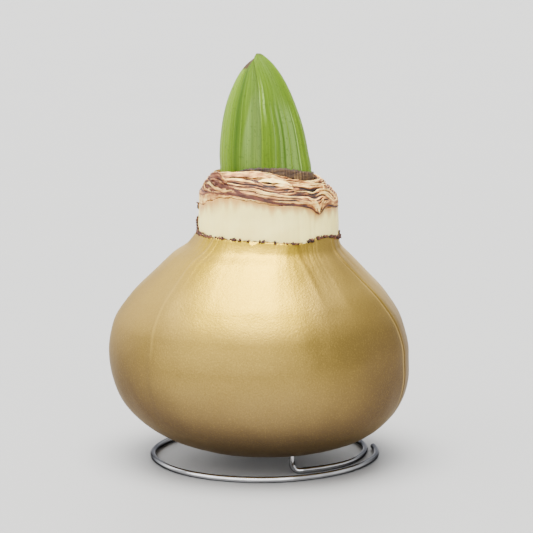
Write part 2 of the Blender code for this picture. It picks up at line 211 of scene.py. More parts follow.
def grain(turn, z, round_scale, up_scale, seed=0.0):
    """Smooth noise over turn and height that closes on itself round the bulb, about -1 to 1."""
    turn, z = np.broadcast_arrays(turn, z)
    angle = np.radians(turn)
    x = np.sin(angle).ravel() * round_scale + seed
    y = -np.cos(angle).ravel() * round_scale
    places = zip(x, y, (z * up_scale).ravel())
    return np.array([noise.noise(Vector(place)) for place in places]).reshape(turn.shape) * 1.6


def grains(turn, z, *parts):
    """A sum of grains, each given as its height, its two scales and its seed."""
    return sum(height * grain(turn, z, *scales) for height, *scales in parts)


def turns(count):
    return -180 + 360 * np.arange(count) / count


def stacked(*parts):
    return np.stack(np.broadcast_arrays(*parts), axis=-1)


def stack(*rows):
    return np.stack([stacked(*row) for row in rows])


# Meshes

def linked(scene, name, data):
    made = bpy.data.objects.new(name, data)
    scene.collection.objects.link(made)
    return made


def dressed(scene, name, data, look, stands_for=(), slot=None, sharp=None):
    """Links a mesh as a finished piece that rides on the bulb."""
    data.shade_smooth()
    if sharp:
        data.set_sharp_from_angle(angle=math.radians(sharp))
    data.materials.clear()
    data.materials.append(look)
    piece = linked(scene, name, data)
    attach(piece, BODY)
    if stands_for:
        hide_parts(*stands_for)


def skin(scene, name, grid, look, node, slot, sharp=None, close_rows=False, **marks):
    """A closed skin of quads with its UVs and marks, dressed as the piece that stands for a solid.

    grid is rows x columns x 3 in millimetres. The columns run round, and open ends get a pole.
    """
    rows, columns = grid.shape[:2]
    points = grid.reshape(-1, 3)
    marks = {key: np.broadcast_to(value, (rows, columns)).reshape(-1) for key, value in marks.items()}
    row = np.arange(rows if close_rows else rows - 1)[:, None]
    column = np.arange(columns)[None, :]
    here, above = row * columns, (row + 1) % rows * columns
    after = (column + 1) % columns
    faces = stacked(here + column, here + after, above + after, above + column).reshape(-1, 4).tolist()
    u0, u1 = column / columns, (column + 1) / columns
    v0, v1 = row / rows, (row + 1) / rows
    uvs = stacked(u0, v0, u1, v0, u1, v1, u0, v1).reshape(-1, 4, 2).tolist()
    for pole_row, way in () if close_rows else ((0, -1), (rows - 1, 1)):
        pole = len(points)
        first = pole_row * columns
        points = np.vstack([points, grid[pole_row].mean(axis=0)])
        marks = {key: np.append(value, value[first]) for key, value in marks.items()}
        for i in range(columns):
            faces.append([*(first + i, first + (i + 1) % columns)[::way], pole])
            uvs.append([[(i + k) / columns, pole_row / rows] for k in (*(0, 1)[::way], 0.5)])
    a, b, c = (points[[face[k] for face in faces]] for k in (0, 1, 2))
    inside_out = np.einsum("ij,ij->i", a, np.cross(b, c)).sum() < 0
    if inside_out:
        faces = [face[::-1] for face in faces]
        uvs = [uv[::-1] for uv in uvs]
    data = bpy.data.meshes.new(name)
    data.from_pydata((points * MM).tolist(), [], faces)
    layer = data.uv_layers.new(name="UVMap")
    layer.data.foreach_set("uv", np.array([c for uv in uvs for corner in uv for c in corner], np.float32))
    for key, values in marks.items():
        data.attributes.new(key, "FLOAT", "POINT").data.foreach_set("value", values.astype(np.float32))
    data.validate()
    dressed(scene, name, data, look, (node,), slot, sharp)


# Node trees

class Nodes:
    """Adds nodes to a tree and gives their outputs. Inputs are sockets to link or constants to set."""

    def __init__(self, tree):
        self.tree = tree

    def fill(self, node, inputs):
        for key, value in inputs.items():
            socket = node.inputs[key]
            if isinstance(value, bpy.types.NodeSocket):
                self.tree.links.new(value, socket)
            elif socket.type == "RGBA":
                socket.default_value = (*value[:3], 1.0)
            else:
                socket.default_value = value
        return node

    def add(self, kind, inputs=None, **settings):
        made = self.tree.nodes.new(kind)
        for key, value in settings.items():
            setattr(made, key, value)
        return self.fill(made, inputs or {}).outputs

    def geo(self, kind, inputs=None, **settings):
        """The first output of a geometry node."""
        return self.add("GeometryNode" + kind, inputs, **settings)[0]

    def math(self, operation, a, b=0.5, c=0.5, clamp=False):
        return self.add("ShaderNodeMath", {0: a, 1: b, 2: c}, operation=operation, use_clamp=clamp)[0]

    def times(self, value, *others):
        for other in others:
            value = self.math("MULTIPLY", value, other)
        return value

    def split(self, vector):
        return self.add("ShaderNodeSeparateXYZ", {"Vector": vector})

    def mapped(self, value, low, high, to_high=1.0, to_low=0.0):
        inputs = {"Value": value, "From Min": low, "From Max": high, "To Min": to_low, "To Max": to_high}
        return self.add("ShaderNodeMapRange", inputs, interpolation_type="SMOOTHSTEP")["Result"]

    def blended(self, factor, first, second):
        inputs = {0: factor, 6: first, 7: second}
        return self.add("ShaderNodeMix", inputs, data_type="RGBA", clamp_factor=True)[2]

    def colours(self, factor, stops):
        """A colour ramp through stops of (place, colour)."""
        made = self.add("ShaderNodeValToRGB", {"Fac": factor})
        elements = made[0].node.color_ramp.elements
        while len(elements) < len(stops):
            elements.new(0.5)
        for element, (place, colour) in zip(elements, stops):
            element.position = place
            element.color = (*colour, 1.0)
        return made["Color"]

    def marked(self, name):
        return self.add("ShaderNodeAttribute", attribute_name=name)["Fac"]

    def facing(self):
        return self.add("ShaderNodeLayerWeight", {"Blend": 0.5})["Facing"]

    def laid(self, tone, *layers):
        """Lays colours over a tone, each where all its masks are light.

        A mask is the name of a mark, or a value with the limits that it is mapped between.
        """
        for colour, *masks in layers:
            masks = [self.marked(mask) if isinstance(mask, str) else self.mapped(*mask) for mask in masks]
            tone = self.blended(self.times(*masks), tone, colour)
        return tone

    def mottle(self, vector, scale, stretch=(1, 1, 1), detail=3.0, contrast=2.0):
        """Noise from 0 to 1 on a stretched vector."""
        return self.add("ShaderNodeGroup", {
            "Vector": vector, "Scale": scale, "Stretch": stretch, "Detail": detail, "Contrast": contrast,
        }, node_tree=mottle_group())["Value"]


def mottle_group():
    """Shared noise: a vector is stretched, then turned to a value between two limits."""
    name = "Mottle"
    if name in bpy.data.node_groups:
        return bpy.data.node_groups[name]
    tree = bpy.data.node_groups.new(name, "ShaderNodeTree")
    for label in ("Vector", "Stretch", "Scale", "Detail", "Contrast"):
        kind = "NodeSocketVector" if label in ("Vector", "Stretch") else "NodeSocketFloat"
        tree.interface.new_socket(label, in_out="INPUT", socket_type=kind)
    tree.interface.new_socket("Value", in_out="OUTPUT", socket_type="NodeSocketFloat")
    nodes = Nodes(tree)
    start = nodes.add("NodeGroupInput")
    both = {0: start["Vector"], 1: start["Stretch"]}
    stretched = nodes.add("ShaderNodeVectorMath", both, operation="MULTIPLY")[0]
    inputs = {"Vector": stretched, "Scale": start["Scale"], "Detail": start["Detail"]}
    cloud = nodes.add("ShaderNodeTexNoise", inputs)
    widened = nodes.times(nodes.math("SUBTRACT", cloud["Fac"], 0.5), start["Contrast"])
    nodes.add("NodeGroupOutput", {"Value": nodes.math("ADD", widened, 0.5, clamp=True)})
    return tree


class Look(Nodes):
    """The nodes of a new material with its Principled shader, Object coordinates and UVs."""

    def __init__(self, name):
        self.material = bpy.data.materials.new(name)
        self.material.use_nodes = True
        super().__init__(self.material.node_tree)
        place = self.add("ShaderNodeTexCoord")
        self.spot = place["Object"]
        self.uv = place["UV"]

    def finished(self, inputs, height=None, distance=1.0, strength=1.0):
        """The material with its shader's inputs set and a height turned to relief."""
        if height is not None:
            inputs["Normal"] = self.add("ShaderNodeBump", {
                "Height": height, "Distance": distance, "Strength": strength,
            })["Normal"]
        self.fill(self.tree.nodes["Principled BSDF"], inputs)
        return self.material


def shaded(colour, *by):
    """A colour dimmed by one factor, or by one for each of red, green and blue."""
    return tuple(c * k for c, k in zip(colour, by if len(by) == 3 else by * 3))


def gold_wax_material(colour):
    look = Look("gold_wax")
    cloud = look.mottle(look.spot, 38.0, contrast=1.6)
    flakes = look.mottle(look.spot, 2600.0, detail=1.0, contrast=2.6)
    place = look.split(look.spot)
    across, height = place["X"], place["Z"]
    from_middle = look.math("ABSOLUTE", look.math("ADD", across, 0.003))
    facing = look.facing()
    tone = look.colours(cloud, (
        (0.2, shaded(colour, 0.90, 0.88, 0.80)), (0.55, colour), (0.9, shaded(colour, 1.08, 1.09, 1.12)),
    ))
    for by, *masks in (
        # Painted light: less blue where the highlight falls on the middle of the shoulder, painted shade on
        # the lower half and the right side, and a painted dark reflection in a belt round the middle
        ((1.0, 0.98, 0.26), (height, 0.034, 0.050), (facing, 0.70, 0.35), (from_middle, 0.024, 0.011)),
        ((0.42, 0.43, 1.35), (height, 0.048, -0.004)),
        ((0.48, 0.46, 0.72), (across, 0.002, 0.042, 0.8), (height, 0.056, 0.036)),
        ((0.52, 0.52, 0.55), (height, 0.050, 0.042), (height, 0.026, 0.038), (facing, 0.42, 0.15, 0.62)),
        # Painted dark reflection where the wax is seen at a glancing angle
        ((0.21, 0.20, 0.62), (facing, 0.05, 0.62), (height, 0.064, 0.020, 0.92),
         (height, 0.007, 0.020, 1.0, 0.25)),
        # Light and dark flakes
        ((1.6, 1.6, 1.4), (flakes, 0.55, 1.0, 0.13)),
        ((0.52, 0.50, 0.45), (flakes, 0.45, 0.0, 0.24)),
    ):
        tone = look.laid(tone, (shaded(colour, *by), *masks))
    # Painted highlight along the crests of the lines under the wax, and painted shade beside them, in the
    # valley's wedge and on the right shoulder
    tone = look.blended(look.times(look.marked("crest"), 0.75), tone, shaded(colour, 1.6, 1.6, 1.7))
    tone = look.blended(look.times(look.marked("crease"), 0.60), tone, shaded(colour, 0.38, 0.33, 0.35))
    peel = look.mottle(look.spot, 260.0, detail=2.0)
    tall = look.math("MULTIPLY_ADD", look.mottle(look.spot, 1700.0, detail=1.0), 0.6, peel)
    return look.finished({
        "Base Color": tone, "Metallic": 1.0, "Specular Tint": (0.86, 0.78, 0.66),
        "Roughness": look.math("MULTIPLY_ADD", cloud, 0.10, 0.38),
    }, tall, 0.00008, 0.55)


def neck_material(colour):
    look = Look("bulb_flesh")
    streak = look.mottle(look.uv, 1.0, (60.0, 4.0, 1.0))
    cloud = look.mottle(look.spot, 120.0, contrast=1.8)
    tone = look.laid(
        look.colours(cloud, ((0.1, shaded(colour, 0.90, 0.86, 0.74)), (0.8, colour))),
        ((0.96, 0.82, 0.26), (streak, 0.45, 1.0, 0.5)),
        ((0.56, 0.26, 0.045), "stained", (streak, 0.1, 0.8, 1.0, 0.75)),
        ((0.07, 0.025, 0.012), "soiled"),
    )
    return look.finished({
        "Base Color": tone, "Roughness": 0.46, "Subsurface Weight": 0.12,
        "Subsurface Radius": (0.004, 0.003, 0.0015),
    }, streak, 0.00012, 0.5)


def papery_material(name, stops):
    """Dry skin whose tone follows the mark made with the mesh, broken up by fine fibres."""
    look = Look(name)
    fibre = look.mottle(look.spot, 900.0, (0.35, 0.35, 1.6), 4.0, 2.8)
    blotch = look.mottle(look.spot, 420.0, contrast=2.4)
    tone = look.math("ADD", look.marked("tone"), look.mapped(fibre, 0.0, 1.0, 0.15, -0.15))
    tone = look.math("ADD", tone, look.mapped(blotch, 0.0, 1.0, 0.12, -0.12), clamp=True)
    reddened = ((0.115, 0.027, 0.013), "red", (blotch, 0.2, 0.8, 1.0, 0.5))
    colour = look.laid(look.colours(tone, stops), reddened)
    return look.finished({"Base Color": colour, "Roughness": 0.72}, fibre, 0.0002, 0.8)


CAP_TONES = (
    (0.0, (0.010, 0.004, 0.003)), (0.25, (0.090, 0.026, 0.010)), (0.50, (0.390, 0.146, 0.034)),
    (0.75, (0.80, 0.435, 0.102)), (1.0, (0.98, 0.74, 0.260)),
)
SHEATH_TONES = (
    (0.0, (0.010, 0.006, 0.003)), (0.4, (0.042, 0.021, 0.007)), (0.75, (0.105, 0.062, 0.019)),
    (1.0, (0.28, 0.19, 0.07)),
)


def leaf_material(name, bands, streaks):
    """A waxy green bract: colours in bands round it from the seam, or in streaks where it is so marked."""
    look = Look(name)
    vein = look.mottle(look.uv, 1.0, (150.0, 1.3, 1.0), 2.0, 2.8)
    fine = look.mottle(look.uv, 1.0, (420.0, 5.0, 1.0), 2.0, 2.4)
    cloud = look.mottle(look.spot, 90.0, contrast=1.8)
    speck = look.mottle(look.spot, 1300.0, detail=1.0, contrast=3.0)
    shifted = look.math("ADD", look.marked("across"), look.mapped(cloud, 0.0, 1.0, 0.006, -0.006))
    tone = look.laid(
        look.blended(look.marked("streaky"), look.colours(shifted, bands), look.colours(shifted, streaks)),
        ((0.16, 0.26, 0.030), (vein, 0.5, 0.95, 0.30)),
        ((0.035, 0.08, 0.003), (vein, 0.45, 0.1, 0.30)),
        ((0.19, 0.29, 0.018), (fine, 0.5, 1.0, 0.12)),
        ((0.035, 0.07, 0.006), (speck, 0.12, 0.0, 0.35)),
        ((0.055, 0.032, 0.012), "dry"),
    )
    return look.finished({
        "Base Color": tone, "Roughness": 0.46, "Specular IOR Level": 0.14, "Subsurface Weight": 0.10,
        "Subsurface Radius": (0.001, 0.002, 0.0006),
    }, look.math("MULTIPLY_ADD", fine, 0.5, vein), 0.00015, 0.55)


# Greens of the bracts, as places round them from the seam
DEEP, GRASS, BRIGHT = (0.036, 0.084, 0.002), (0.077, 0.145, 0.002), (0.121, 0.209, 0.008)
PALE, BLOOM, WHITE = (0.093, 0.152, 0.022), (0.130, 0.215, 0.040), (0.223, 0.350, 0.070)
RIGHT_BANDS = (
    (0.0, BRIGHT), (0.012, GRASS), (0.10, GRASS), (0.20, (0.079, 0.144, 0.009)), (0.32, GRASS),
    (0.45, BRIGHT), (0.55, GRASS),
)
RIGHT_STREAKS = (
    (0.0, WHITE), (0.010, BRIGHT), (0.022, GRASS), (0.032, WHITE), (0.042, WHITE), (0.050, DEEP),
    (0.085, GRASS), (0.098, BLOOM), (0.108, GRASS), (0.128, DEEP), (0.138, BLOOM), (0.150, BLOOM),
    (0.158, DEEP), (0.168, DEEP), (0.178, BLOOM), (0.205, BLOOM), (0.215, GRASS), (0.225, BLOOM),
    (0.275, BLOOM), (0.287, DEEP), (0.298, WHITE), (0.310, GRASS), (0.345, BRIGHT), (0.36, GRASS),
    (0.45, BRIGHT), (0.55, GRASS),
)
LEFT_BANDS = (
    (0.0, (0.056, 0.112, 0.005)), (0.012, (0.088, 0.153, 0.016)), (0.08, (0.082, 0.147, 0.011)),
    (0.15, GRASS), (0.21, DEEP), (0.26, GRASS), (0.33, BRIGHT), (0.39, (0.153, 0.242, 0.021)),
    (0.46, BRIGHT), (0.55, GRASS),
)
LEFT_STREAKS = (
    (0.0, (0.056, 0.112, 0.007)), (0.012, (0.102, 0.166, 0.032)), (0.06, PALE), (0.12, BLOOM), (0.18, PALE),
    (0.25, GRASS),
)


def steel_material(colour):
    look = Look("steel_wire")
    drawn = look.mottle(look.spot, 700.0, (1.0, 1.0, 0.3), 2.0)
    wear = look.mottle(look.spot, 160.0, contrast=2.4)
    tone = look.colours(wear, ((0.2, shaded(colour, 0.82)), (0.7, colour)))
    # Painted dark reflection: the steel darkens where it is seen at a glancing angle
    return look.finished({
        "Base Color": look.laid(tone, (shaded(colour, 0.16), (look.facing(), 0.22, 0.72))), "Metallic": 1.0,
        "Specular Tint": (0.36, 0.36, 0.37), "Roughness": look.math("MULTIPLY_ADD", wear, 0.14, 0.08),
    }, drawn, 0.00002, 0.4)


def crumb_material():
    look = Look("skin_crumbs")
    blotch = look.mottle(look.spot, 1500.0, contrast=2.6)
    tone = look.colours(blotch, (
        (0.15, (0.014, 0.005, 0.003)), (0.6, (0.075, 0.021, 0.010)), (0.95, (0.26, 0.095, 0.045)),
    ))
    return look.finished({"Base Color": tone, "Roughness": 0.8}, blotch, 0.0001, 0.8)


def floor_material(colour):
    look = Look("studio_floor")
    cloud = look.mottle(look.spot, 6.0, contrast=1.0)
    return look.finished({
        "Base Color": look.colours(cloud, ((0.2, shaded(colour, 0.97)), (0.8, colour))), "Roughness": 0.6,
    })


# The wax coat

def belly(share):
    angle = np.pi / 2 * (1 - share)
    power = 2 / BELLY_POWER
    drop = (WIDEST_Z - BODY_BOTTOM_Z) * np.sin(angle) ** power
    return BODY_RADIUS * np.maximum(np.cos(angle), 0.0) ** power, WIDEST_Z - drop


def shoulder(z):
    return smooth(SHOULDER, z), z


def on_body(turn, r, z):
    angle = np.radians(turn)
    return smooth(CENTRE_SHIFT, z) + r * np.sin(angle), -r * np.cos(angle) * DEPTH_RATIO, z


def on_neck(turn, inwards, z):
    angle = np.radians(turn)
    r = smooth(NECK_RADIUS, z) - inwards
    return NECK_X + r * np.sin(angle), -r * np.cos(angle) * DEPTH_RATIO, z


def inside(turn, outline, stations, depth, step=1e-3):
    """Rows of points inside the body, at a depth under its outline."""
    rows = []
    for at in stations:
        r0, z0 = outline(at - step)
        r1, z1 = outline(at + step)
        along = np.hypot(r1 - r0, z1 - z0)
        r, z = outline(at)
        rows.append(on_body(turn, r - depth * (z1 - z0) / along, z + depth * (r1 - r0) / along))
    return rows


def past_lines(turn, z):
    """How many degrees a place is past the scale's edge, the faint edge and the back edge."""
    return [wrapped(turn - at) for at in (smooth(SCALE_EDGE, z), smooth(FAINT_EDGE, z), BACK_EDGE)]


def wax_lines(turn, z):
    """Painted highlight along the lines under the wax, and painted shade beside them, in the valley's wedge
    and on the right shoulder, each from 0 to 1.
    """
    past, faint, back = past_lines(turn, z)
    high = rise(z, 14.0, 14.0)
    crest = high * (0.8 * bump(past, -0.5, 0.9) + 0.3 * bump(past, 3.1, 0.8))
    crest = crest + 0.35 * bump(faint, 0.0, 1.2) * rise(z, 34.0, 8.0) + 0.6 * bump(back, -0.4, 0.9) * high
    dark = high * (0.7 * bump(past, 1.3, 1.3) + 0.35 * between(past, 1.5, 40.0, 4.0, 20.0))
    dark = dark + 0.7 * bump(back, 1.2, 1.4) * high
    left, right = smooth(VALLEY_LEFT, z), smooth(VALLEY_RIGHT, z)
    wedge = between(turn, left, right, 0.8, right - left) * rise(z, 50.0, 4.0)
    side = 0.5 * bump(turn, 60.0, 30.0) * rise(z, 54.0, 8.0)
    return np.clip(crest, 0, 1), np.clip(dark + 0.55 * wedge + side, 0, 1)


def wax_relief(turn, z, sizes):
    """How far the wax stands out: the edges under it, a fold, a soft swelling, ribs and dipping waves."""
    past, faint, back = past_lines(turn, z)
    fold = turn - smooth(VALLEY_LEFT, z)
    edge = rise(past, -28, 27) ** 2 * rise(past, 1.3, -1.2) + 0.62 * between(past, 1.2, 12.2, 1.6, 9.0)
    out = sizes.edge_height * TO_MM * edge
    out = out + 0.10 * between(faint, -3.0, 20.2, 3.0, 20.0) + 0.35 * between(back, -25, 1.5, 24.5, 1.5)
    out = out - 0.22 * between(fold, -1.0, 32.0, 5.0, 28.0) * rise(z, 46.0, 12.0)
    out = out + 0.26 * bump(z, 48.5, 12.0) * bump(turn, 4.0, 60.0)
    ribs = grains(turn, z, (0.045, 26.0, 0.02, 3.1), (0.022, 60.0, 0.03, 8.7))
    fine = grains(turn, z, (0.05, 95.0, 0.02, 4.4)) * bump(turn, -47.0, 18.0) * rise(z, 54.0, 6.0)
    waves = grains(turn, z, (0.32, 2.2, 0.06, 5.0), (0.12, 6.0, 0.13, 1.5)) * sizes.wave_height * TO_MM / 0.3
    return out * rise(z, 12.0, 18.0) + ribs * rise(z, 48.0, 20.0) + fine + waves


def lifted(turn, z):
    """A height of the upper body, drawn up or down to follow the wax's uneven and ragged lip."""
    ragged = grains(turn, 0.0, (0.16, 30.0, 1.0, 2.0), (0.14, 75.0, 1.0, 4.0))
    return z + (smooth(WAX_LIP_Z, turn) - LIP_MEAN_Z + ragged) * rise(z, 61.0, 7.5)


def wax_turns():
    """Columns round the coat, closer together along the lines under the wax."""
    close = ((57.0, 77.0, 0.25), (-51.0, -41.0, 0.35), (23.0, 45.0, 0.5), (154.0, 161.0, 0.35))
    sets = [np.arange(-180.0, 180.0, 1.25)]
    for start, stop, step in close:
        sets[0] = sets[0][(sets[0] < start) | (sets[0] > stop)]
        sets.append(np.arange(start, stop, step))
    return np.sort(np.concatenate(sets))


def build_wax(scene):
    sizes = scene.bulb_sizes
    turn = wax_turns()
    r, low_z = belly((np.arange(1, WAX_LOW_ROWS) / WAX_LOW_ROWS)[:, None])
    low = stacked(*on_body(turn, r + wax_relief(turn, low_z, sizes), low_z))
    level = np.linspace(WIDEST_Z, LIP_MEAN_Z, WAX_HIGH_ROWS)[:, None]
    up_z = lifted(turn, level)
    # The wax lies close on the neck at its lip, and its rim is rounded
    close = 0.45 * rise(level, 64.0, 4.4) + 0.22 * rise(level, 68.0, 0.5)
    up = stacked(*on_body(turn, smooth(SHOULDER, up_z) + wax_relief(turn, up_z, sizes) - close, up_z))
    inner = []
    for depth, level in ((0.75, LIP_MEAN_Z - 0.05), (0.85, 66.0), (1.0, 63.0)):
        z = lifted(turn, level)
        inner.append(on_body(turn, smooth(SHOULDER, z) - depth, z))
    inner += inside(turn, shoulder, np.linspace(60.0, WIDEST_Z, 6), WAX_WALL)
    inner += inside(turn, belly, np.linspace(0.9, 0.12, 8), WAX_WALL)
    # The first mark is painted highlight on the crests, the second painted shade beside the lines, in the
    # wedge and on the right shoulder
    crest, crease = (
        np.pad(np.concatenate(pair), ((0, len(inner)), (0, 0)))
        for pair in zip(wax_lines(turn, low_z), wax_lines(turn, up_z))
    )
    grid = np.concatenate([low, up, stack(*inner)])
    look = gold_wax_material(tuple(scene.bulb_colours.wax))
    skin(scene, "wax_skin", grid, look, "wax_coat", "gold_wax", crest=crest, crease=crease)


# The bulb's bare neck

def cap_edge_z(turn):
    """The cap's torn lower edge."""
    return smooth(CAP_LOW_Z, turn) + grains(turn, 0.0, (0.30, 9.0, 1.0, 3.0), (0.22, 34.0, 1.0, 7.0))


def build_neck(scene):
    turn = turns(NECK_TURNS)
    levels = np.linspace(WIDEST_Z, 64.0, 8)
    covered = inside(turn, belly, np.linspace(0.08, 0.95, 10), FLESH_UNDER)
    covered += inside(turn, shoulder, levels[:6], FLESH_UNDER)
    covered += inside(turn, shoulder, levels[6:], FLESH_UNDER_HIGH)
    top = cap_edge_z(turn) - 0.16
    z = NECK_FOOT_Z + (top - NECK_FOOT_Z) * np.linspace(0, 1, NECK_ROWS)[:, None]
    ribs = grains(turn, z, (0.10, 22.0, 0.03, 6.0), (0.045, 55.0, 0.05, 9.0), (0.12, 5.0, 0.15, 2.5))
    bare = stacked(*on_neck(turn, 0.05 - ribs, z))
    # Stains reach down from the cap and up from the wax, and dirt lies on the wax's lip
    deep = np.clip(3.0 + 1.6 * grain(turn, 0.0, 11.0, 1.0, 7.0) + bump(turn, -45, 40), 1.2, 5.0)
    over_lip = z - smooth(WAX_LIP_Z, turn)
    patchy = ramp(0.3 + bump(turn, -78, 30) + grain(turn, 0.0, 9.0, 1.0, 1.0))
    near_wax = 0.45 * ramp(1 - over_lip / 1.6) * patchy
    stained = np.clip(0.95 * ramp(1 - (top - z) / deep) + near_wax, 0, 1)
    soiled = ramp(1 - over_lip / 0.45) * ramp(0.55 + 1.6 * grain(turn, 0.0, 17.0, 1.0, 3.0))
    hidden = [on_neck(turn, 0.4, top + 0.02), on_neck(turn, 1.1, smooth(CAP_LOW_Z, turn) - 0.25)]
    hidden += [cap_underside(turn, share, -0.3) for share in (0.25, 0.9)]
    hidden += [around_shoot(turn, 1.3, level) for level in (77.0, 74.0)]
    margins = ((len(covered), len(hidden)), (0, 0))
    look = neck_material(tuple(scene.bulb_colours.flesh))
    grid = np.concatenate([stack(*covered), bare, stack(*hidden)])
    skin(scene, "neck_flesh", grid, look, "bulb", "bulb_flesh",
         stained=np.pad(stained, margins, constant_values=((0, 1), (0, 0))), soiled=np.pad(soiled, margins))


# The shoot

def shoot_half_width(z):
    stations = tuple((math.sqrt(SHOOT_TIP_Z - height), half) for height, half in reversed(SHOOT_HALF_WIDTH))
    return smooth(stations, np.sqrt(np.maximum(SHOOT_TIP_Z - z, 0.0)), level_ends=False)


def around_shoot(turn, out, z):
    angle = np.radians(turn)
    half = shoot_half_width(SHOOT_WIDEST_Z)
    x = smooth(SHOOT_MIDDLE, SHOOT_WIDEST_Z) + (half + out) * np.sin(angle)
    return x, -(half * SHOOT_DEPTH_RATIO + out) * np.cos(angle), z


def bract(side, tip_z, lap):
    """A bract's closed sections from foot to tip, the outer arc and then the inner face, with its marks."""
    right = side > 0
    share = np.arange(BRACT_LEVELS + 1)[:, None] / BRACT_LEVELS
    z = SHOOT_FOOT_Z + (tip_z - SHOOT_FOOT_Z) * (1 - (1 - share) ** 1.5)
    half = shoot_half_width(z + (SHOOT_TIP_Z - tip_z) * rise(z, 110, tip_z - 110))
    middle, seam = smooth(SHOOT_MIDDLE, z), smooth(SEAM_X, z)
    grown_apart = rise(z, 89.5, 6) * np.minimum(1.0, half / 5.0)
    lapped = rise(z, 83.0, 3)
    start_x = seam - lap * lapped if right else seam

    def turn_at(x):
        return np.degrees(np.arcsin(np.clip((x - middle) / half, -0.92, 0.92)))

    start = turn_at(start_x)
    t = np.linspace(0, 1, BRACT_ARC + 1)
    turn = start + (side * 180 - turn_at(seam) - start) * t
    angle = np.radians(turn)
    from_seam = np.abs(turn - start) / 90.0
    stand = side * ramp(1 - from_seam / (0.5 if right else 0.35)) * (0.12 * lapped + 0.30 * grown_apart)
    veins = np.cos(t * 46 * np.pi + 0.6 * np.sin(z * 0.11)) * 0.045 + np.cos(t * 19 * np.pi + 1.0) * 0.05
    flutes = 0.16 * np.cos(t * 9 * np.pi + 0.5) * np.exp(-t * 2)
    relief = (veins + flutes) * np.minimum(1.0, half / 6.0)
    x = middle + (half + relief) * np.sin(angle) + side * BRACT_GAP_HALF
    y = -(half * SHOOT_DEPTH_RATIO + stand + relief) * np.cos(angle)
    inner_x = np.repeat(seam + side * BRACT_GAP_HALF, BRACT_INNER, axis=1)
    if right:
        inner_x[:, -1:] = start_x + 0.25
    last_y = y[:, :1] + (0.55 if right else 0.2) * np.maximum(grown_apart, 0.2)
    inner_y = np.linspace(y[:, -1] * 0.98, last_y[:, 0], BRACT_INNER + 1, axis=1)[:, 1:]
    if right:
        streaky = rise(t, 0.06, 0.02) * ramp((112 - 8 * t - z) / 7)
        streaky = streaky + rise(t, 0.06, -0.01) * bump(z, 108.5, 8.5)
        dry = 0.35 * rise(z, 120.9, 0.6) + 0 * t
    else:
        streaky = rise(t, smooth(PATCH_EDGE, z), -0.03) * rise(z, 113, -6) * (1 - 0.4 * rise(z, 98, -9))
        dry = rise(z, 116.9, 0.8) * between(np.abs(turn), 42, 132, 10, 20) + rise(z, 119.9, 0.4)
    grid = stacked(np.hstack([x, inner_x]), np.hstack([y, inner_y]), z)
    marks = {"across": t + 0 * z, "streaky": np.clip(streaky, 0, 1), "dry": np.clip(dry, 0, 1)}
    marks = {key: np.pad(value, ((0, 0), (0, BRACT_INNER))) for key, value in marks.items()}
    return grid[:, ::side], {key: value[:, ::side] for key, value in marks.items()}


def build_bracts(scene):
    for name, side, tip_z, bands, streaks in (
        ("bract_right", 1, SHOOT_TIP_Z, RIGHT_BANDS, RIGHT_STREAKS),
        ("bract_left", -1, LEFT_BRACT_TIP_Z, LEFT_BANDS, LEFT_STREAKS),
    ):
        grid, marks = bract(side, tip_z, scene.bulb_sizes.seam_lap * TO_MM)
        skin(scene, name + "_leaf", grid, leaf_material(name, bands, streaks), name, name, sharp=50, **marks)


# The sheath's section: share of the way up, then how far out
SHEATH_PROFILE = (
    (0.0, 0.3), (0.0, 0.85), (0.4, 0.85), (0.7, 0.85), (0.8, 0.85), (0.87, 0.82), (0.93, 0.78), (0.97, 0.72),
    (1.0, 0.62), (1.0, 0.40), (0.93, 0.34), (0.5, 0.3),
)


def build_sheath(scene):
    turn = turns(SHEATH_TURNS)
    top = smooth(SHEATH_TOP_Z, turn) + grains(turn, 0.0, (0.30, 26.0, 1.0, 5.0), (0.22, 70.0, 1.0, 8.0))
    rib = np.cos(np.radians(turn) * 84 + 5.0 * grain(turn, 0.0, 3.0, 1.0))
    rib = rib * (0.6 + 0.5 * grain(turn, 0.0, 11.0, 1.0))
    share, out = (np.array(column)[:, None] for column in zip(*SHEATH_PROFILE))
    outside = out > 0.5
    z = SHEATH_FOOT_Z + (top - SHEATH_FOOT_Z) * share
    lean = 0.25 * grain(turn, 0.0, 8.0, 1.0, 3.0) * rise(share, 0.8, 0.2) * 0.5
    grid = stacked(*around_shoot(turn, out + rib * 0.13 * outside + lean, z))
    tone = 0.56 + 0.22 * rib * outside - 0.2 * rise(share, 0.95, 0.05) + 0.14 * grain(turn, z, 9.0, 0.1)
    # Painted shade: the sheath's left front is darker, where it lies in the shadowed gap by the shoot
    tone = tone - 0.38 * between(turn, -75, 8, 12)
    look = papery_material("dry_sheath", SHEATH_TONES)
    skin(scene, "sheath_skin", grid, look, "shoot_sheath", "dry_sheath", close_rows=True, tone=tone, red=0.1)


# The dry cap, from its outer rim at share 0 to the shoot at share 1

def cap_ring(turn, share, z):
    angle = np.radians(turn)
    inner_x, inner_y = around_shoot(turn, CAP_HOLE_OUT, 0.0)[:2]
    outer_x = NECK_X + CAP_RIM_RADIUS * np.sin(angle)
    outer_y = -CAP_RIM_RADIUS * DEPTH_RATIO * np.cos(angle)
    return outer_x + (inner_x - outer_x) * share, outer_y + (inner_y - outer_y) * share, z


def rim_z(turn):
    return smooth(CAP_LOW_Z, turn) + smooth(CAP_SKIRT, turn)


def cap_height(turn, share):
    climb = smooth(CAP_TOP_Z, turn) - rim_z(turn)
    return rim_z(turn) + climb * (1 - np.maximum(1 - share, 0.0) ** 1.5)


def cap_underside(turn, share, lift):
    start = (0.9 - lift) / 6.0
    climb = 82.8 - rim_z(turn)
    return cap_ring(turn, start + (1 - start) * share, rim_z(turn) - 0.9 + climb * share + lift)


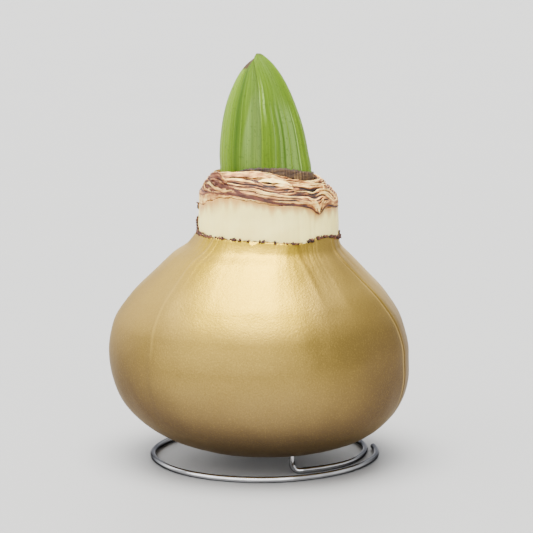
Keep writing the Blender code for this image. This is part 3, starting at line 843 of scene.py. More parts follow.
def cap_place(turn, share):
    """A place on the cap. Below share 0 it runs down the skirt, 10 mm for a share of 1."""
    down = np.minimum(share, 0.0)
    x, y, z = cap_ring(turn, np.maximum(share, 0.0), cap_height(turn, np.maximum(share, 0.0)))
    angle = np.radians(turn)
    out = 0.55 * ramp((0.07 - share) / 0.08)
    return x + out * np.sin(angle), y - out * np.cos(angle), z + 10.0 * down


def layer_depth(turn, share, layers):
    """Which layer of the cap a place is in, counted from the rim."""
    wander = grains(turn, share * 20, (0.62, 1.3, 0.05, 1.0), (0.20, 3.6, 0.09, 2.0))
    return share * layers + wander * ramp(share / 0.1) * rise(share, 1, -0.06)


def beside(turn, share, path, half):
    """1 along a path of (turn, share), falling to 0 at a half width of share, and 0 past its ends."""
    at, along = np.array(path, float).T
    return bump(share, np.interp(turn, at, along), half) * between(turn, at[0], at[-1], 3.0)


# Gaps between the cap's skins, sunk and darkened with painted shade, as turn and share along each, with its
# half width and depth
CAP_GAPS = (
    (((-31, 0.58), (-18, 0.54), (-6, 0.47)), 0.045, 1.0),
    (((-5, 0.385), (8, 0.355), (20, 0.32)), 0.040, 0.9),
    (((23, 0.43), (36, 0.42), (57, 0.45)), 0.075, 1.6),
    (((-72, 0.38), (-64, 0.31), (-52, 0.19), (-38, 0.08)), 0.050, 1.3),
    (((-22, 0.25), (0, 0.20), (22, 0.17)), 0.028, 0.7),
    (((-42, 0.42), (-24, 0.37), (-10, 0.34)), 0.028, 0.7),
    (((-36, 0.14), (-18, 0.11), (2, 0.09), (20, 0.08)), 0.026, 0.7),
    (((28, 0.14), (38, 0.09), (44, 0.03)), 0.040, 0.9),
    (((47, 0.05), (56, 0.11), (66, 0.13)), 0.040, 0.8),
    (((-86, 0.64), (-72, 0.62), (-58, 0.57), (-50, 0.50)), 0.032, 0.9),
    (((-84, 0.26), (-72, 0.21), (-62, 0.12)), 0.035, 0.9),
    (((-46, 0.31), (-32, 0.27), (-16, 0.29)), 0.026, 0.7),
    (((24, 0.245), (38, 0.235), (50, 0.27)), 0.030, 0.8),
    (((62, 0.30), (72, 0.24), (78, 0.12)), 0.035, 0.8),
    (((100, 0.5), (125, 0.42), (150, 0.45)), 0.04, 1.0),
    (((-160, 0.35), (-140, 0.42), (-118, 0.38)), 0.04, 1.0),
)


def layered_top(turn, layers):
    """The cap's top: long crests of cut scales with gaps between them, their tones with painted shade between
    the crests and in the gaps, and their redness.
    """
    share = np.linspace(0.0, 1.0, CAP_ROWS)[:, None]
    depth = layer_depth(turn, share, layers)
    layer = np.floor(depth)

    def varied(step, *scales):
        return grain(turn, layer * step, *scales)

    flat = between(turn, -60, 8, 12) * between(share, 0.58, 0.93, 0.06, 0.05)
    tall = 0.55 + 0.50 * varied(7.3, 2.2, 1.0, 4.0) + 0.20 * varied(5.1, 8.0, 1.0, 5.0)
    tall = np.clip(tall, 0.08, 1.3) * (1 - 0.75 * flat)
    crest = between(depth - layer, 0, 0.92, 0.22, 0.62)
    z = cap_height(turn, share) + (0.80 * tall + 0.05 * varied(3.7, 40.0, 1.0, 6.0)) * crest - 0.35
    x, y, z = cap_ring(turn, share - 0.022 * crest * tall * ramp(share / 0.1), z)
    light = 0.70 + 0.34 * varied(9.1, 2.6, 1.0, 7.0) + 0.12 * varied(2.3, 14.0, 1.0, 8.0)
    # Painted shade: the tone falls nearly to black in the troughs between the crests
    tone = np.clip(light, 0.2, 1.0) * (0.03 + 0.97 * crest ** 1.3 + 0.30 * flat * (1 - crest))
    # Each gap is sunk and also darkened with painted shade
    for path, half, deep in CAP_GAPS:
        gap = beside(turn, share, path, half)
        z = z - deep * gap
        tone = tone * (1 - 0.92 * gap)
    # Painted shade darkening the mass at the left among its curls, then the darker border above the skirt
    mass = 1.4 * bump(turn, -62, 30) * between(share, 0.14, 0.80, 0.08, 0.12)
    tone = tone - 0.50 * mass * (0.75 + 0.5 * grain(turn, share * 9, 12.0, 1.0, 9.0))
    border = 0.5 * bump(share, 0.0, 0.12) * between(turn, -45, 46, 10)
    red = bump(turn, -60, 34) * rise(share, 0.74, -0.15) + 0.45 * border + 0.3 * bump(turn, 80, 26)
    red = np.clip(red + 0.22 * varied(4.4, 3.0, 1.0), 0, 0.9)
    return stacked(x, y, z), np.clip(tone - border, 0.02, 1.0), red


def strip_guide(path, width, lean, tone, red, seed):
    """Guide points of a torn papery strip along a path of (turn, share, lift), with its marks.

    lean 0 stands up and -60 lies back on the slope.
    """
    path = np.array(path, float)
    run = np.concatenate([[0], np.cumsum(np.hypot(np.diff(path[:, 0]) * 0.35, np.diff(path[:, 1]) * 14))])
    t = np.linspace(0.0, 1.0, max(14, int(run[-1] / 0.4)))
    turn, share, lift = (smooth(list(zip(run / run[-1], path[:, k])), t, level_ends=False) for k in range(3))
    share = share + 0.010 * grain(turn, share * 9, 6.0, 1.0, seed)
    points = np.stack(cap_place(turn, share), axis=-1)
    points[:, 2] += lift
    along = np.gradient(points, axis=0)
    along /= np.linalg.norm(along, axis=1, keepdims=True)
    tilt = np.radians(lean + 10 * grain(turn, 0.0, 6.0, 1.0, seed + 3))
    angle = np.radians(turn)
    side = np.stack([np.sin(angle) * np.sin(tilt), -np.cos(angle) * np.sin(tilt), np.cos(tilt)], axis=-1)
    side -= along * (side * along).sum(axis=1, keepdims=True)
    full = np.sin(np.pi * np.clip(t, 0.02, 0.98)) ** 0.5
    return points, {
        "side": side, "wide": width * MM * full * (1 + 0.22 * grain(turn, 0.0, 14.0, 1.0, seed + 5)),
        "tone": tone + 0.08 * grain(turn, 0.0, 12.0, 1.0, seed + 9), "red": red + 0.12 * bump(turn, -62, 34),
    }


# Strips placed one by one: path of (turn, share, lift), width, lean, tone, redness
CAP_STRIPS = (
    # The pale flap in the middle and the ones behind it
    (((-8, 0.49, 0.1), (2, 0.53, 0.4), (12, 0.54, 0.5), (24, 0.50, 0.3)), 1.7, -50, 0.98, 0.0),
    (((6, 0.43, 0.1), (15, 0.44, 0.3), (24, 0.40, 0.1)), 0.9, -40, 0.82, 0.0),
    (((-4, 0.80, 0.1), (8, 0.75, 0.3), (22, 0.66, 0.1)), 0.7, -20, 0.78, 0.0),
    (((-46, 0.52, 0.1), (-28, 0.48, 0.3), (-12, 0.42, 0.2)), 0.8, -40, 0.80, 0.0),
    (((-54, 0.64, 0.1), (-32, 0.70, 0.2), (-8, 0.68, 0.2), (4, 0.62, 0.1)), 1.9, -60, 0.52, 0.0),
    (((-50, 0.80, 0.1), (-32, 0.86, 0.2), (-10, 0.88, 0.2), (2, 0.82, 0.1)), 0.9, -40, 0.66, 0.0),
    # The folded loop at the right, open in the middle
    (((24, 0.55, 0.2), (36, 0.56, 0.5), (50, 0.58, 0.6), (61, 0.59, 0.5), (68, 0.52, 0.5), (66, 0.42, 0.4),
      (56, 0.35, 0.3), (40, 0.31, 0.2), (24, 0.32, 0.1)), 0.6, 0, 0.88, 0.0),
    (((23, 0.53, 0.1), (34, 0.535, 0.2), (48, 0.54, 0.2)), 0.9, -55, 0.84, 0.1),
    (((26, 0.60, 0.1), (38, 0.62, 0.3), (50, 0.66, 0.3), (62, 0.66, 0.2)), 0.5, -20, 0.92, 0.0),
    # Curved ends that run down the right side, with a dark strip between them as a painted shadow line
    (((52, 0.27, 0.2), (60, 0.25, 0.4), (68, 0.16, 0.4), (71, 0.03, 0.2)), 0.6, 0, 0.88, 0.0),
    (((46, 0.21, 0.2), (56, 0.20, 0.4), (63, 0.11, 0.3), (66, -0.02, 0.2)), 0.6, 0, 0.84, 0.05),
    (((60, 0.40, 0.2), (72, 0.34, 0.3), (78, 0.18, 0.2), (80, 0.02, 0.1)), 0.7, 5, 0.74, 0.1),
    (((56, 0.235, 0.1), (63, 0.19, 0.2), (68, 0.08, 0.1)), 0.35, 0, 0.10, 0.1),
    # The hanging point and the folds that run to it, with dark strips between the folds as painted shadow
    # lines
    (((36, 0.06, 0.2), (41, -0.03, 0.1), (43, -0.14, 0.0), (44, -0.27, 0.0)), 1.5, 5, 0.80, 0.1),
    (((52, 0.06, 0.2), (48, -0.03, 0.1), (45.5, -0.14, 0.0), (44.5, -0.26, 0.0)), 1.2, 5, 0.60, 0.1),
    (((22, 0.04, 0.1), (32, -0.02, 0.1), (39, -0.12, 0.0), (43, -0.25, 0.0)), 0.7, 0, 0.68, 0.1),
    (((66, 0.05, 0.1), (58, -0.03, 0.1), (51, -0.12, 0.0), (46, -0.25, 0.0)), 0.7, 0, 0.62, 0.2),
    (((28, 0.00, 0.1), (36, -0.07, 0.1), (41, -0.17, 0.0), (43, -0.26, 0.0)), 0.35, 0, 0.08, 0.2),
    (((59, 0.00, 0.1), (53, -0.08, 0.1), (48, -0.17, 0.0), (45.5, -0.26, 0.0)), 0.40, 0, 0.08, 0.2),
    (((42, -0.12, 0.25), (43.5, -0.20, 0.2), (44, -0.28, 0.1), (44.5, -0.31, 0.0)), 0.9, 5, 0.38, 0.2),
    (((8, -0.10, 0.0), (24, -0.12, 0.0), (34, -0.18, 0.0), (43, -0.30, 0.0)), 0.62, 0, 0.05, 0.5),
    (((45, -0.30, 0.0), (53, -0.18, 0.0), (64, -0.15, 0.0), (80, -0.17, 0.0)), 0.6, 0, 0.06, 0.4),
    # The curled red-brown mass at the left with its light lower lip, and dark strips as painted shadow lines
    # in the slits under its folds
    (((-86, 0.68, 0.2), (-74, 0.66, 0.6), (-61, 0.72, 0.7), (-50, 0.62, 0.4)), 1.2, -10, 0.22, 0.8),
    (((-82, 0.60, 0.2), (-70, 0.58, 0.7), (-57, 0.60, 0.8), (-44, 0.40, 0.4), (-36, 0.26, 0.2)),
     0.8, -10, 0.42, 0.6),
    (((-76, 0.54, 0.2), (-66, 0.52, 0.7), (-55, 0.52, 0.7), (-44, 0.34, 0.4), (-36, 0.20, 0.2)),
     0.7, 0, 0.12, 0.8),
    (((-72, 0.47, 0.2), (-62, 0.45, 0.7), (-50, 0.36, 0.6), (-40, 0.22, 0.3)), 0.6, -10, 0.44, 0.5),
    (((-74, 0.42, 0.2), (-66, 0.40, 0.4), (-57, 0.27, 0.4), (-49, 0.14, 0.3)), 1.0, 0, 0.05, 0.4),
    (((-56, 0.36, 0.2), (-49, 0.26, 0.4), (-42, 0.16, 0.4), (-34, 0.12, 0.2)), 0.8, 0, 0.10, 0.8),
    (((-62, 0.80, 0.2), (-54, 0.70, 0.5), (-47, 0.54, 0.5), (-40, 0.40, 0.2)), 0.5, -10, 0.82, 0.1),
    (((-76, 0.36, 0.2), (-67, 0.33, 0.5), (-56, 0.17, 0.6), (-46, 0.05, 0.5), (-38, 0.02, 0.4),
      (-31, 0.09, 0.2)), 0.95, 5, 0.80, 0.05),
    (((-62, 0.18, 0.0), (-56, 0.10, 0.1), (-46, -0.02, 0.1), (-36, -0.05, 0.0)), 0.45, 0, 0.14, 0.6),
    (((-38, 0.10, 0.2), (-33, 0.11, 0.3), (-27, 0.05, 0.2), (-20, 0.01, 0.1)), 1.0, -10, 0.10, 0.9),
    (((-92, 0.38, 0.1), (-82, 0.28, 0.4), (-70, 0.14, 0.4), (-54, 0.02, 0.2)), 0.8, -10, 0.60, 0.3),
    (((-90, 0.30, 0.1), (-80, 0.20, 0.3), (-68, 0.06, 0.3), (-56, -0.02, 0.1)), 0.35, 0, 0.14, 0.5),
    # The dark lower border, and the paler edge just above it
    (((-40, 0.06, 0.0), (-28, -0.01, 0.0), (-16, -0.045, 0.0), (-3, -0.05, 0.0), (10, -0.085, 0.0),
      (24, -0.10, 0.0)), 0.9, 0, 0.07, 0.7),
    (((-34, 0.07, 0.1), (-18, 0.05, 0.2), (0, 0.04, 0.2), (22, 0.04, 0.1)), 0.6, -20, 0.60, 0.3),
    (((-26, -0.03, 0.1), (-16, -0.05, 0.1), (-4, -0.07, 0.0)), 0.35, 0, 0.62, 0.3),
    (((-10, 0.12, 0.1), (8, 0.115, 0.2), (30, 0.10, 0.1)), 0.55, -20, 0.78, 0.1),
    (((-30, 0.17, 0.1), (-8, 0.15, 0.2), (12, 0.15, 0.1)), 0.5, -20, 0.84, 0.1),
)


def skirt_tones(turn, q):
    """Tone and redness of the skirt, from its lower edge at q 0 to the rim at q 1."""
    left = bump(turn, -80, 32)
    front = between(turn, -52, 10, 12)
    right = between(turn, 2, 60, 10, 14)
    upper = rise(q, 0.40, 0.2)
    tone = 0.60 + 0.12 * grain(turn, q * 3, 14.0, 1.0, 6.0) + 0.08 * grain(turn, q * 2, 44.0, 1.0, 5.0)
    tone = tone + front * (0.08 - 0.46 * upper) + right * (-0.22 + 0.40 * upper)
    tone = tone + left * (0.12 + grains(turn, q, (0.42, 45.0, 1.5, 3.0), (0.3, 18.0, 2.5, 4.0)))
    red = 0.35 + 0.3 * front * rise(q, 0.5, 0.2) - 0.25 * front * (1 - upper) - 0.15 * left
    return np.clip(tone, 0.03, 1.0), np.clip(red, 0, 0.9)


def build_cap(scene):
    turn = turns(CAP_TURNS)
    low, edge = smooth(CAP_LOW_Z, turn), cap_edge_z(turn)
    under = [cap_underside(turn, share, 0.0) for share in (0.92, 0.4, 0.0)]
    under += [on_neck(turn, 0.7, edge + 0.1), on_neck(turn, 0.12, edge)]
    q = np.linspace(0.1, 0.94, SKIRT_ROWS)[:, None]
    z = edge * (1 - q) + low * q + (rim_z(turn) - low) * q
    folds = grains(turn, z, (0.14, 10.0, 0.35, 4.0), (0.08, 46.0, 0.2, 5.0))
    skirt = stacked(*on_neck(turn, -0.03 + 0.22 * q - folds * ramp(q / 0.3), z))
    top, top_tone, top_red = layered_top(turn, scene.bulb_sizes.layers)
    hole = stack(cap_ring(turn, 1.0, cap_height(turn, 1.0) - 0.9))
    edge_tone, edge_red = skirt_tones(turn, np.zeros((1, 1)))
    skirt_tone, skirt_red = skirt_tones(turn, q)
    tone = np.concatenate([edge_tone * 0.85, skirt_tone, top_tone])
    red = np.concatenate([edge_red, skirt_red, top_red])
    margins = ((len(under) - 1, 1), (0, 0))
    papery = papery_material("dry_scales", CAP_TONES)
    grid = np.concatenate([stack(*under), skirt, top, hole])
    # The rows under the cap and in the hole round the shoot are painted dark, tone 0.1, as shade
    skin(scene, "cap_layers", grid, papery, "dry_scales", "dry_scales", sharp=55, close_rows=True,
         tone=np.pad(tone, margins, constant_values=0.1), red=np.pad(red, margins))
    build_strips(scene, papery)


def random_strips(sizes):
    """Paths and looks of the smaller loose strips, each along one layer's crest and clear of the gaps."""
    draw = np.random.default_rng(STRIP_SEED)
    share = np.linspace(0.03, 0.97, 60)[:, None]
    for _ in range(sizes.strips):
        start = draw.uniform(-180, 180)
        at = np.linspace(start, start + draw.uniform(24, 95), 9)
        depth = layer_depth(wrapped(at), share, sizes.layers)
        want = draw.integers(1, sizes.layers) + 0.22
        along = [float(np.interp(want, depth[:, i], share[:, 0])) for i in range(9)]
        lift = draw.uniform(0.10, 0.45)
        places = wrapped(at), np.array(along)
        if any(beside(*places, gap, half + 0.03).max() > 0.2 for gap, half, _ in CAP_GAPS):
            continue
        path = [(a, b, lift * math.sin(math.pi * i / 8)) for i, (a, b) in enumerate(zip(at, along))]
        left = float(bump(wrapped(at[4]), -62, 26))
        width, lean = draw.uniform(0.22, 0.5), draw.uniform(-40, 15)
        tone = draw.choice((0.20, 0.48, 0.68, 0.82, 0.95)) - 0.1 * left
        yield path, width, lean, tone, 0.6 * left + draw.uniform(0, 0.15)


def build_strips(scene, papery):
    points, edges, marks = [], [], {}
    for k, strip in enumerate([*random_strips(scene.bulb_sizes), *CAP_STRIPS]):
        line, looks = strip_guide(*strip, k * 1.7)
        edges += [(i, i + 1) for i in range(len(points), len(points) + len(line) - 1)]
        points += line.tolist()
        for key, values in looks.items():
            marks.setdefault(key, []).append(values)
    marks = {key: np.concatenate(values) for key, values in marks.items()}
    data = grown(scene, "cap_strips", points, edges, strip_tree(), {**STRIP_LOOKS, "Material": papery}, marks)
    dressed(scene, "cap_strips", data, papery, (), "dry_scales", sharp=55)


# Geometry Nodes for the wire, the strips and the crumbs

def geometry_tree(name, inputs):
    """The nodes of a new tree with named inputs, and the sockets that these inputs come from."""
    tree = bpy.data.node_groups.new(name, "GeometryNodeTree")
    for label, kind in {"Geometry": "Geometry", **inputs, "Material": "Material"}.items():
        tree.interface.new_socket(label, in_out="INPUT", socket_type="NodeSocket" + kind)
    tree.interface.new_socket("Geometry", in_out="OUTPUT", socket_type="NodeSocketGeometry")
    nodes = Nodes(tree)
    return nodes, nodes.add("NodeGroupInput")


def ended(nodes, start, geometry):
    """The tree, once its geometry is made real and clad in its material."""
    real = nodes.geo("RealizeInstances", {"Geometry": geometry})
    clad = nodes.geo("SetMaterial", {"Geometry": real, "Material": start["Material"]})
    nodes.add("NodeGroupOutput", {"Geometry": clad})
    return nodes.tree


def grown(scene, name, points, edges, tree, values, marks=()):
    """The plain mesh that a tree makes from guide points in millimetres and their marks."""
    guide = bpy.data.meshes.new(name + "_guide")
    guide.from_pydata([tuple(c * MM for c in point) for point in points], edges, [])
    for key in marks:
        vector = marks[key].ndim == 2
        mark = guide.attributes.new(key, "FLOAT_VECTOR" if vector else "FLOAT", "POINT")
        mark.data.foreach_set("vector" if vector else "value", marks[key].ravel().astype(np.float32))
    holder = linked(scene, name + "_guide", guide)
    modifier = holder.modifiers.new("grow", "NODES")
    modifier.node_group = tree
    for item in tree.interface.items_tree:
        if item.in_out == "INPUT" and item.name in values:
            modifier[item.identifier] = values[item.name]
    evaluated = holder.evaluated_get(bpy.context.evaluated_depsgraph_get())
    data = bpy.data.meshes.new_from_object(evaluated)
    data.name = name
    bpy.data.objects.remove(holder)
    bpy.data.meshes.remove(guide)
    return data


def wire_tree():
    """A round wire along the guide's edges, with closed ends."""
    nodes, start = geometry_tree("Bent Wire", {"Radius": "Float", "Sides": "Int"})
    path = nodes.geo("MeshToCurve", {"Mesh": start["Geometry"]})
    section = nodes.geo("CurvePrimitiveCircle", {"Resolution": start["Sides"], "Radius": start["Radius"]})
    swept = nodes.geo("CurveToMesh", {"Curve": path, "Profile Curve": section, "Fill Caps": True})
    return ended(nodes, start, swept)


def named(nodes, name, kind="FLOAT"):
    return nodes.geo("InputNamedAttribute", {"Name": name}, data_type=kind)


def strip_tree():
    """Thin papery strips along the guide's edges, as wide as its mark wide, across towards its mark side."""
    nodes, start = geometry_tree("Papery Strips", {
        "Thickness": "Float", "Hollow": "Float", "Light Edge": "Float",
    })
    path = nodes.geo("MeshToCurve", {"Mesh": start["Geometry"]})
    side = named(nodes, "side", "FLOAT_VECTOR")
    turned = nodes.geo("SetCurveNormal", {"Curve": path, "Normal": side}, mode="FREE")
    place = nodes.split(nodes.geo("InputPosition"))
    thin = nodes.times(place["Y"], start["Thickness"])
    bent = nodes.times(place["X"], place["X"], nodes.times(start["Hollow"], 4.0))
    flat = nodes.add("ShaderNodeCombineXYZ", {"X": place["X"], "Y": nodes.math("ADD", thin, bent)})[0]
    circle = nodes.geo("CurvePrimitiveCircle", {"Resolution": 10, "Radius": 0.5})
    section = nodes.geo("SetPosition", {"Geometry": circle, "Position": flat})
    sided = nodes.geo("StoreNamedAttribute", {"Geometry": section, "Name": "across", "Value": place["X"]})
    swept = nodes.geo("CurveToMesh", {
        "Curve": turned, "Profile Curve": sided, "Scale": named(nodes, "wide"), "Fill Caps": True,
    })
    # Painted light: one long edge of each strip is lighter and the other darker, as a lit edge over a shaded
    # underside
    lit = nodes.times(named(nodes, "across"), start["Light Edge"])
    tone = nodes.math("ADD", lit, named(nodes, "tone"))
    toned = nodes.geo("StoreNamedAttribute", {"Geometry": swept, "Name": "tone", "Value": tone})
    return ended(nodes, start, toned)


def crumb_tree():
    """Rough little flakes of dry skin on the guide's points."""
    nodes, start = geometry_tree("Skin Crumbs", {"Smallest": "Float", "Largest": "Float", "Seed": "Int"})
    ball = nodes.geo("MeshIcoSphere", {"Radius": 1.0, "Subdivisions": 2})
    rough = nodes.add("ShaderNodeTexNoise", {"Scale": 1.7, "Detail": 1.0})["Color"]
    centred = nodes.add("ShaderNodeVectorMath", {0: rough, 1: (0.5, 0.5, 0.5)}, operation="SUBTRACT")[0]
    pushed = nodes.add("ShaderNodeVectorMath", {0: centred, "Scale": 2.2}, operation="SCALE")[0]
    torn = nodes.geo("SetPosition", {"Geometry": ball, "Offset": pushed})
    spin = nodes.add("FunctionNodeRandomValue", {
        0: (0.0, 0.0, 0.0), 1: (6.28, 6.28, 6.28), "Seed": start["Seed"],
    }, data_type="FLOAT_VECTOR")[0]
    turned = nodes.add("FunctionNodeEulerToRotation", {"Euler": spin})["Rotation"]
    size = nodes.add("FunctionNodeRandomValue", {
        2: start["Smallest"], 3: start["Largest"], "Seed": start["Seed"],
    })[1]
    flat = nodes.add("ShaderNodeCombineXYZ", {"X": size, "Y": size, "Z": nodes.times(size, 0.45)})
    placed = nodes.geo("InstanceOnPoints", {
        "Points": start["Geometry"], "Instance": torn, "Rotation": turned, "Scale": flat["Vector"],
    })
    return ended(nodes, start, placed)


def wire_points():
    route = tuple((-angle, distance) for angle, distance in WIRE_ROUTE)
    swept = np.linspace(route[0][0], route[-1][0], WIRE_STEPS)
    distance = smooth(route, swept)
    turn = np.radians(-swept)
    x = RING_CENTRE[0] + distance * np.cos(turn)
    y = RING_CENTRE[1] + distance * np.sin(turn)
    points = [Vector((*place, WIRE_RADIUS)) for place in zip(x, y)]
    foot = Vector((*PRONG_FOOT, WIRE_RADIUS))
    inward = (foot - points[-1]).normalized()
    bend_start = foot - inward * PRONG_BEND
    for i in range(BEND_STEPS + 1):
        angle = math.pi / 2 * i / BEND_STEPS
        up = Vector((0, 0, PRONG_BEND * (1 - math.cos(angle))))
        points.append(bend_start + inward * PRONG_BEND * math.sin(angle) + up)
    return points + [Vector((*PRONG_FOOT, z)) for z in (8.0, 16.0, PRONG_TOP_Z)]


def build_wire(scene):
    points = wire_points()
    edges = [(i, i + 1) for i in range(len(points) - 1)]
    steel = steel_material(tuple(scene.bulb_colours.steel))
    values = {"Radius": WIRE_RADIUS * MM, "Sides": WIRE_SIDES, "Material": steel}
    data = grown(scene, "wire_ring", points, edges, wire_tree(), values)
    dressed(scene, "wire_ring", data, steel, ("wire_stand",), "steel_wire", sharp=50)


# Clumps of crumbs on the wax's lip: from and to turn, how many, and how far up the neck they reach
CRUMB_CLUMPS = (
    (-88, -78, 14, 0.9), (-78, -66, 14, 0.5), (-80, -64, 6, 1.6), (-66, -52, 20, 0.0), (-48, -37, 9, 0.0),
    (-32, -23, 8, 0.0), (-34, -20, 3, 0.8), (-19, -16, 2, 0.0), (-8, 8, 5, -0.1), (11, 24, 7, -0.1),
    (32, 39, 12, 0.2), (42, 48, 11, 0.4), (50, 66, 24, 0.25), (66, 84, 11, 0.0), (84, 90, 8, 1.0),
    (100, 126, 24, 0.1), (146, 152, 8, 0.1), (163, 178, 18, 0.2), (-176, -160, 16, 0.1),
    (-146, -126, 22, 0.1), (-118, -104, 12, 0.2),
)

# Flakes of dark skin left on the neck: turn, spread of turn, from and to height, how many crumbs they are of
NECK_FLAKES = (
    (-88, 3.0, 70.2, 73.5, 26), (-80, 2.0, 69.6, 70.8, 5), (86, 2.5, 67.8, 69.3, 12),
    (-89, 1.5, 75.9, 77.5, 10),
)


def build_crumbs(scene):
    draw = np.random.default_rng(CRUMB_SEED)
    points = []
    for start, stop, count, reach in CRUMB_CLUMPS:
        for turn in draw.uniform(start, stop, count):
            above = 0.05 + draw.uniform(-0.12, 0.16) + draw.uniform(0, 1) ** 2 * reach
            points.append(on_neck(turn, draw.uniform(-0.32, 0.0), smooth(WAX_LIP_Z, turn) + above))
    for turn, spread, low, high, count in NECK_FLAKES:
        for z in draw.uniform(low, high, count):
            points.append(on_neck(turn + draw.uniform(-spread, spread), draw.uniform(-0.3, 0.15), z))
    points = [tuple(float(c) for c in point) for point in points]
    brown = crumb_material()
    smallest, largest = (size * MM for size in CRUMB_SIZES)
    values = {"Smallest": smallest, "Largest": largest, "Seed": SPIN_SEED, "Material": brown}
    data = grown(scene, "lip_crumbs", points, [], crumb_tree(), values)
    dressed(scene, "lip_crumbs", data, brown, (), "dry_scales")


# The stage

# Far softboxes: direction from the bulb, width in degrees, share of the power, colour
LIGHTS = {
    "overhead": ((-0.06, -0.10, 1.0), 44, 1.1, (1.0, 0.985, 0.94)),
    "back_left": ((-0.75, 0.6, 0.4), 50, 0.12, (1.0, 1.0, 1.0)),
    "window": ((0.1, 1.0, 0.3), 50, 0.12, (0.97, 0.99, 1.0)),
    "front": ((-0.45, -1.0, 0.6), 110, 0.55, (1.0, 1.0, 1.0)),
}
FLOOR_HALF = 12.0


def build_camera(scene):
    data = bpy.data.cameras.new("camera")
    data.lens = CAMERA_LENS
    data.sensor_width = 36.0
    camera = linked(scene, "camera", data)
    camera.location = CAMERA_AT
    camera.rotation_euler = (math.radians(90 - CAMERA_PITCH), 0.0, 0.0)
    scene.camera = camera


def build_stage(scene):
    build_camera(scene)
    data = bpy.data.meshes.new("studio_floor")
    corners = [(x * FLOOR_HALF, y * FLOOR_HALF, 0) for x, y in ((-1, -1), (1, -1), (1, 1), (-1, 1))]
    data.from_pydata(corners, [], [(0, 1, 2, 3)])
    data.materials.append(floor_material(tuple(scene.bulb_colours.floor)))
    floor = linked(scene, "studio_floor", data)
    for name, (towards, width, share, colour) in LIGHTS.items():
        data = bpy.data.lights.new(name, "SUN")
        data.energy = scene.bulb_sizes.light_power * share
        data.angle = math.radians(width)
        data.color = colour
        light = linked(scene, name, data)
        light.location = towards
        light.rotation_mode = "QUATERNION"
        light.rotation_quaternion = Vector(towards).to_track_quat("Z", "Y")
    world = bpy.data.worlds.new("soft_room")
    world.use_nodes = True
    nodes = Nodes(world.node_tree)
    up = nodes.split(nodes.add("ShaderNodeTexCoord")["Generated"])["Z"]
    room = nodes.colours(nodes.mapped(up, 0.02, 0.6), ((0.0, (0.95, 0.95, 0.97)), (1.0, (1.05, 1.06, 1.08))))
    nodes.fill(nodes.tree.nodes["Background"], {"Color": room})
    scene.world = world


# The add-on

def length(name, description, default):
    return bpy.props.FloatProperty(
        name=name, description=description, default=default, min=0.0, subtype="DISTANCE", unit="LENGTH",
    )


def tint(name, description, default):
    return bpy.props.FloatVectorProperty(
        name=name, description=description, default=default, size=3, subtype="COLOR", min=0, max=1,
    )


class BulbSizes(bpy.types.PropertyGroup):
    edge_height: length("Scale Edge", "How far a scale's edge stands out under the wax", 0.00045)
    wave_height: length("Dipping Waves", "Height of the soft waves that dipping leaves", 0.00025)
    seam_lap: length("Seam Lap", "How far the right bract laps over the left", 0.0005)
    layers: bpy.props.IntProperty(
        name="Cap Layers", description="Layers of cut scales in the dry cap", default=11, min=3, max=16)
    strips: bpy.props.IntProperty(
        name="Torn Strips", description="Loose papery strips on the dry cap", default=80, min=0, max=120)
    light_power: bpy.props.FloatProperty(
        name="Light", description="Strength of the overhead light", default=10.0, min=0.0)


class BulbColours(bpy.types.PropertyGroup):
    wax: tint("Wax", "Gold of the wax", (0.40, 0.268, 0.059))
    flesh: tint("Flesh", "Cream of the bare neck", (1.0, 0.865, 0.30))
    steel: tint("Steel", "Colour of the wire", (0.56, 0.565, 0.58))
    floor: tint("Floor", "Colour of the studio floor", (0.30, 0.30, 0.30))


class Step:
    """What the operators share: each runs its own builder in the scene."""

    def execute(self, context):
        self.build(context.scene)
        return {"FINISHED"}


class BULB_OT_stage(Step, bpy.types.Operator):
    """Add the camera, the pale floor and the soft lights"""
    bl_idname = "bulb.stage"
    bl_label = "Stage"
    build = staticmethod(build_stage)


class BULB_OT_wire(Step, bpy.types.Operator):
    """Add the bent steel wire that the bulb stands on"""
    bl_idname = "bulb.wire"
    bl_label = "Wire"
    build = staticmethod(build_wire)


class BULB_OT_wax(Step, bpy.types.Operator):
    """Add the gold wax coat"""
    bl_idname = "bulb.wax"
    bl_label = "Wax Coat"
    build = staticmethod(build_wax)


class BULB_OT_neck(Step, bpy.types.Operator):
    """Add the bulb with its bare neck"""
    bl_idname = "bulb.neck"
    bl_label = "Neck"
    build = staticmethod(build_neck)


class BULB_OT_cap(Step, bpy.types.Operator):
    """Add the dry cap of cut scales"""
    bl_idname = "bulb.cap"
    bl_label = "Dry Cap"
    build = staticmethod(build_cap)


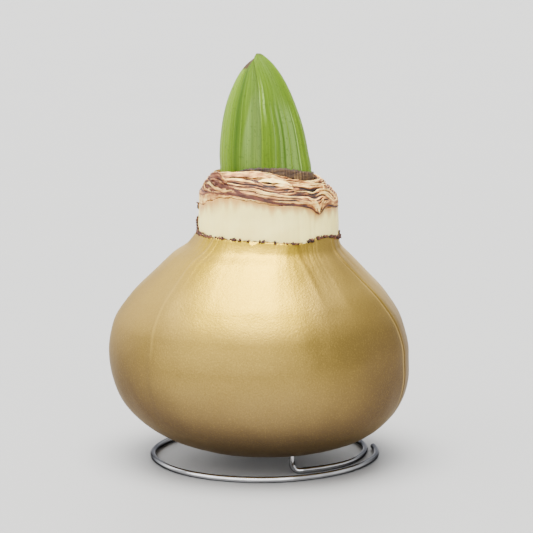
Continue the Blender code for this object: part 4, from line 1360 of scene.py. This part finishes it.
class BULB_OT_sheath(Step, bpy.types.Operator):
    """Add the dry inner scale round the shoot"""
    bl_idname = "bulb.sheath"
    bl_label = "Sheath"
    build = staticmethod(build_sheath)


class BULB_OT_bracts(Step, bpy.types.Operator):
    """Add the two green bracts of the shoot"""
    bl_idname = "bulb.bracts"
    bl_label = "Bracts"
    build = staticmethod(build_bracts)


class BULB_OT_crumbs(Step, bpy.types.Operator):
    """Add the crumbs of dry skin along the wax's lip"""
    bl_idname = "bulb.crumbs"
    bl_label = "Crumbs"
    build = staticmethod(build_crumbs)


STEPS = (
    BULB_OT_stage, BULB_OT_wire, BULB_OT_wax, BULB_OT_neck, BULB_OT_cap, BULB_OT_sheath, BULB_OT_bracts,
    BULB_OT_crumbs,
)


class BULB_PT_panel(bpy.types.Panel):
    """Sizes, colours and steps of the bulb"""
    bl_idname = "BULB_PT_panel"
    bl_label = "Waxed Bulb"
    bl_space_type = "VIEW_3D"
    bl_region_type = "UI"
    bl_category = "Bulb"

    def draw(self, context):
        for group in (context.scene.bulb_sizes, context.scene.bulb_colours):
            for key in group.bl_rna.properties.keys():
                if key not in ("rna_type", "name"):
                    self.layout.prop(group, key)
        for step in STEPS:
            self.layout.operator(step.bl_idname)


CLASSES = (BulbSizes, BulbColours, *STEPS, BULB_PT_panel)


def register():
    for kind in CLASSES:
        bpy.utils.register_class(kind)
    bpy.types.Scene.bulb_sizes = bpy.props.PointerProperty(type=BulbSizes)
    bpy.types.Scene.bulb_colours = bpy.props.PointerProperty(type=BulbColours)


def unregister():
    del bpy.types.Scene.bulb_colours
    del bpy.types.Scene.bulb_sizes
    for kind in reversed(CLASSES):
        bpy.utils.unregister_class(kind)


def main():
    register()
    bpy.ops.bulb.stage()
    bpy.ops.bulb.wire()
    bpy.ops.bulb.wax()
    bpy.ops.bulb.neck()
    bpy.ops.bulb.cap()
    bpy.ops.bulb.sheath()
    bpy.ops.bulb.bracts()
    bpy.ops.bulb.crumbs()


if __name__ == "__main__":
    main()
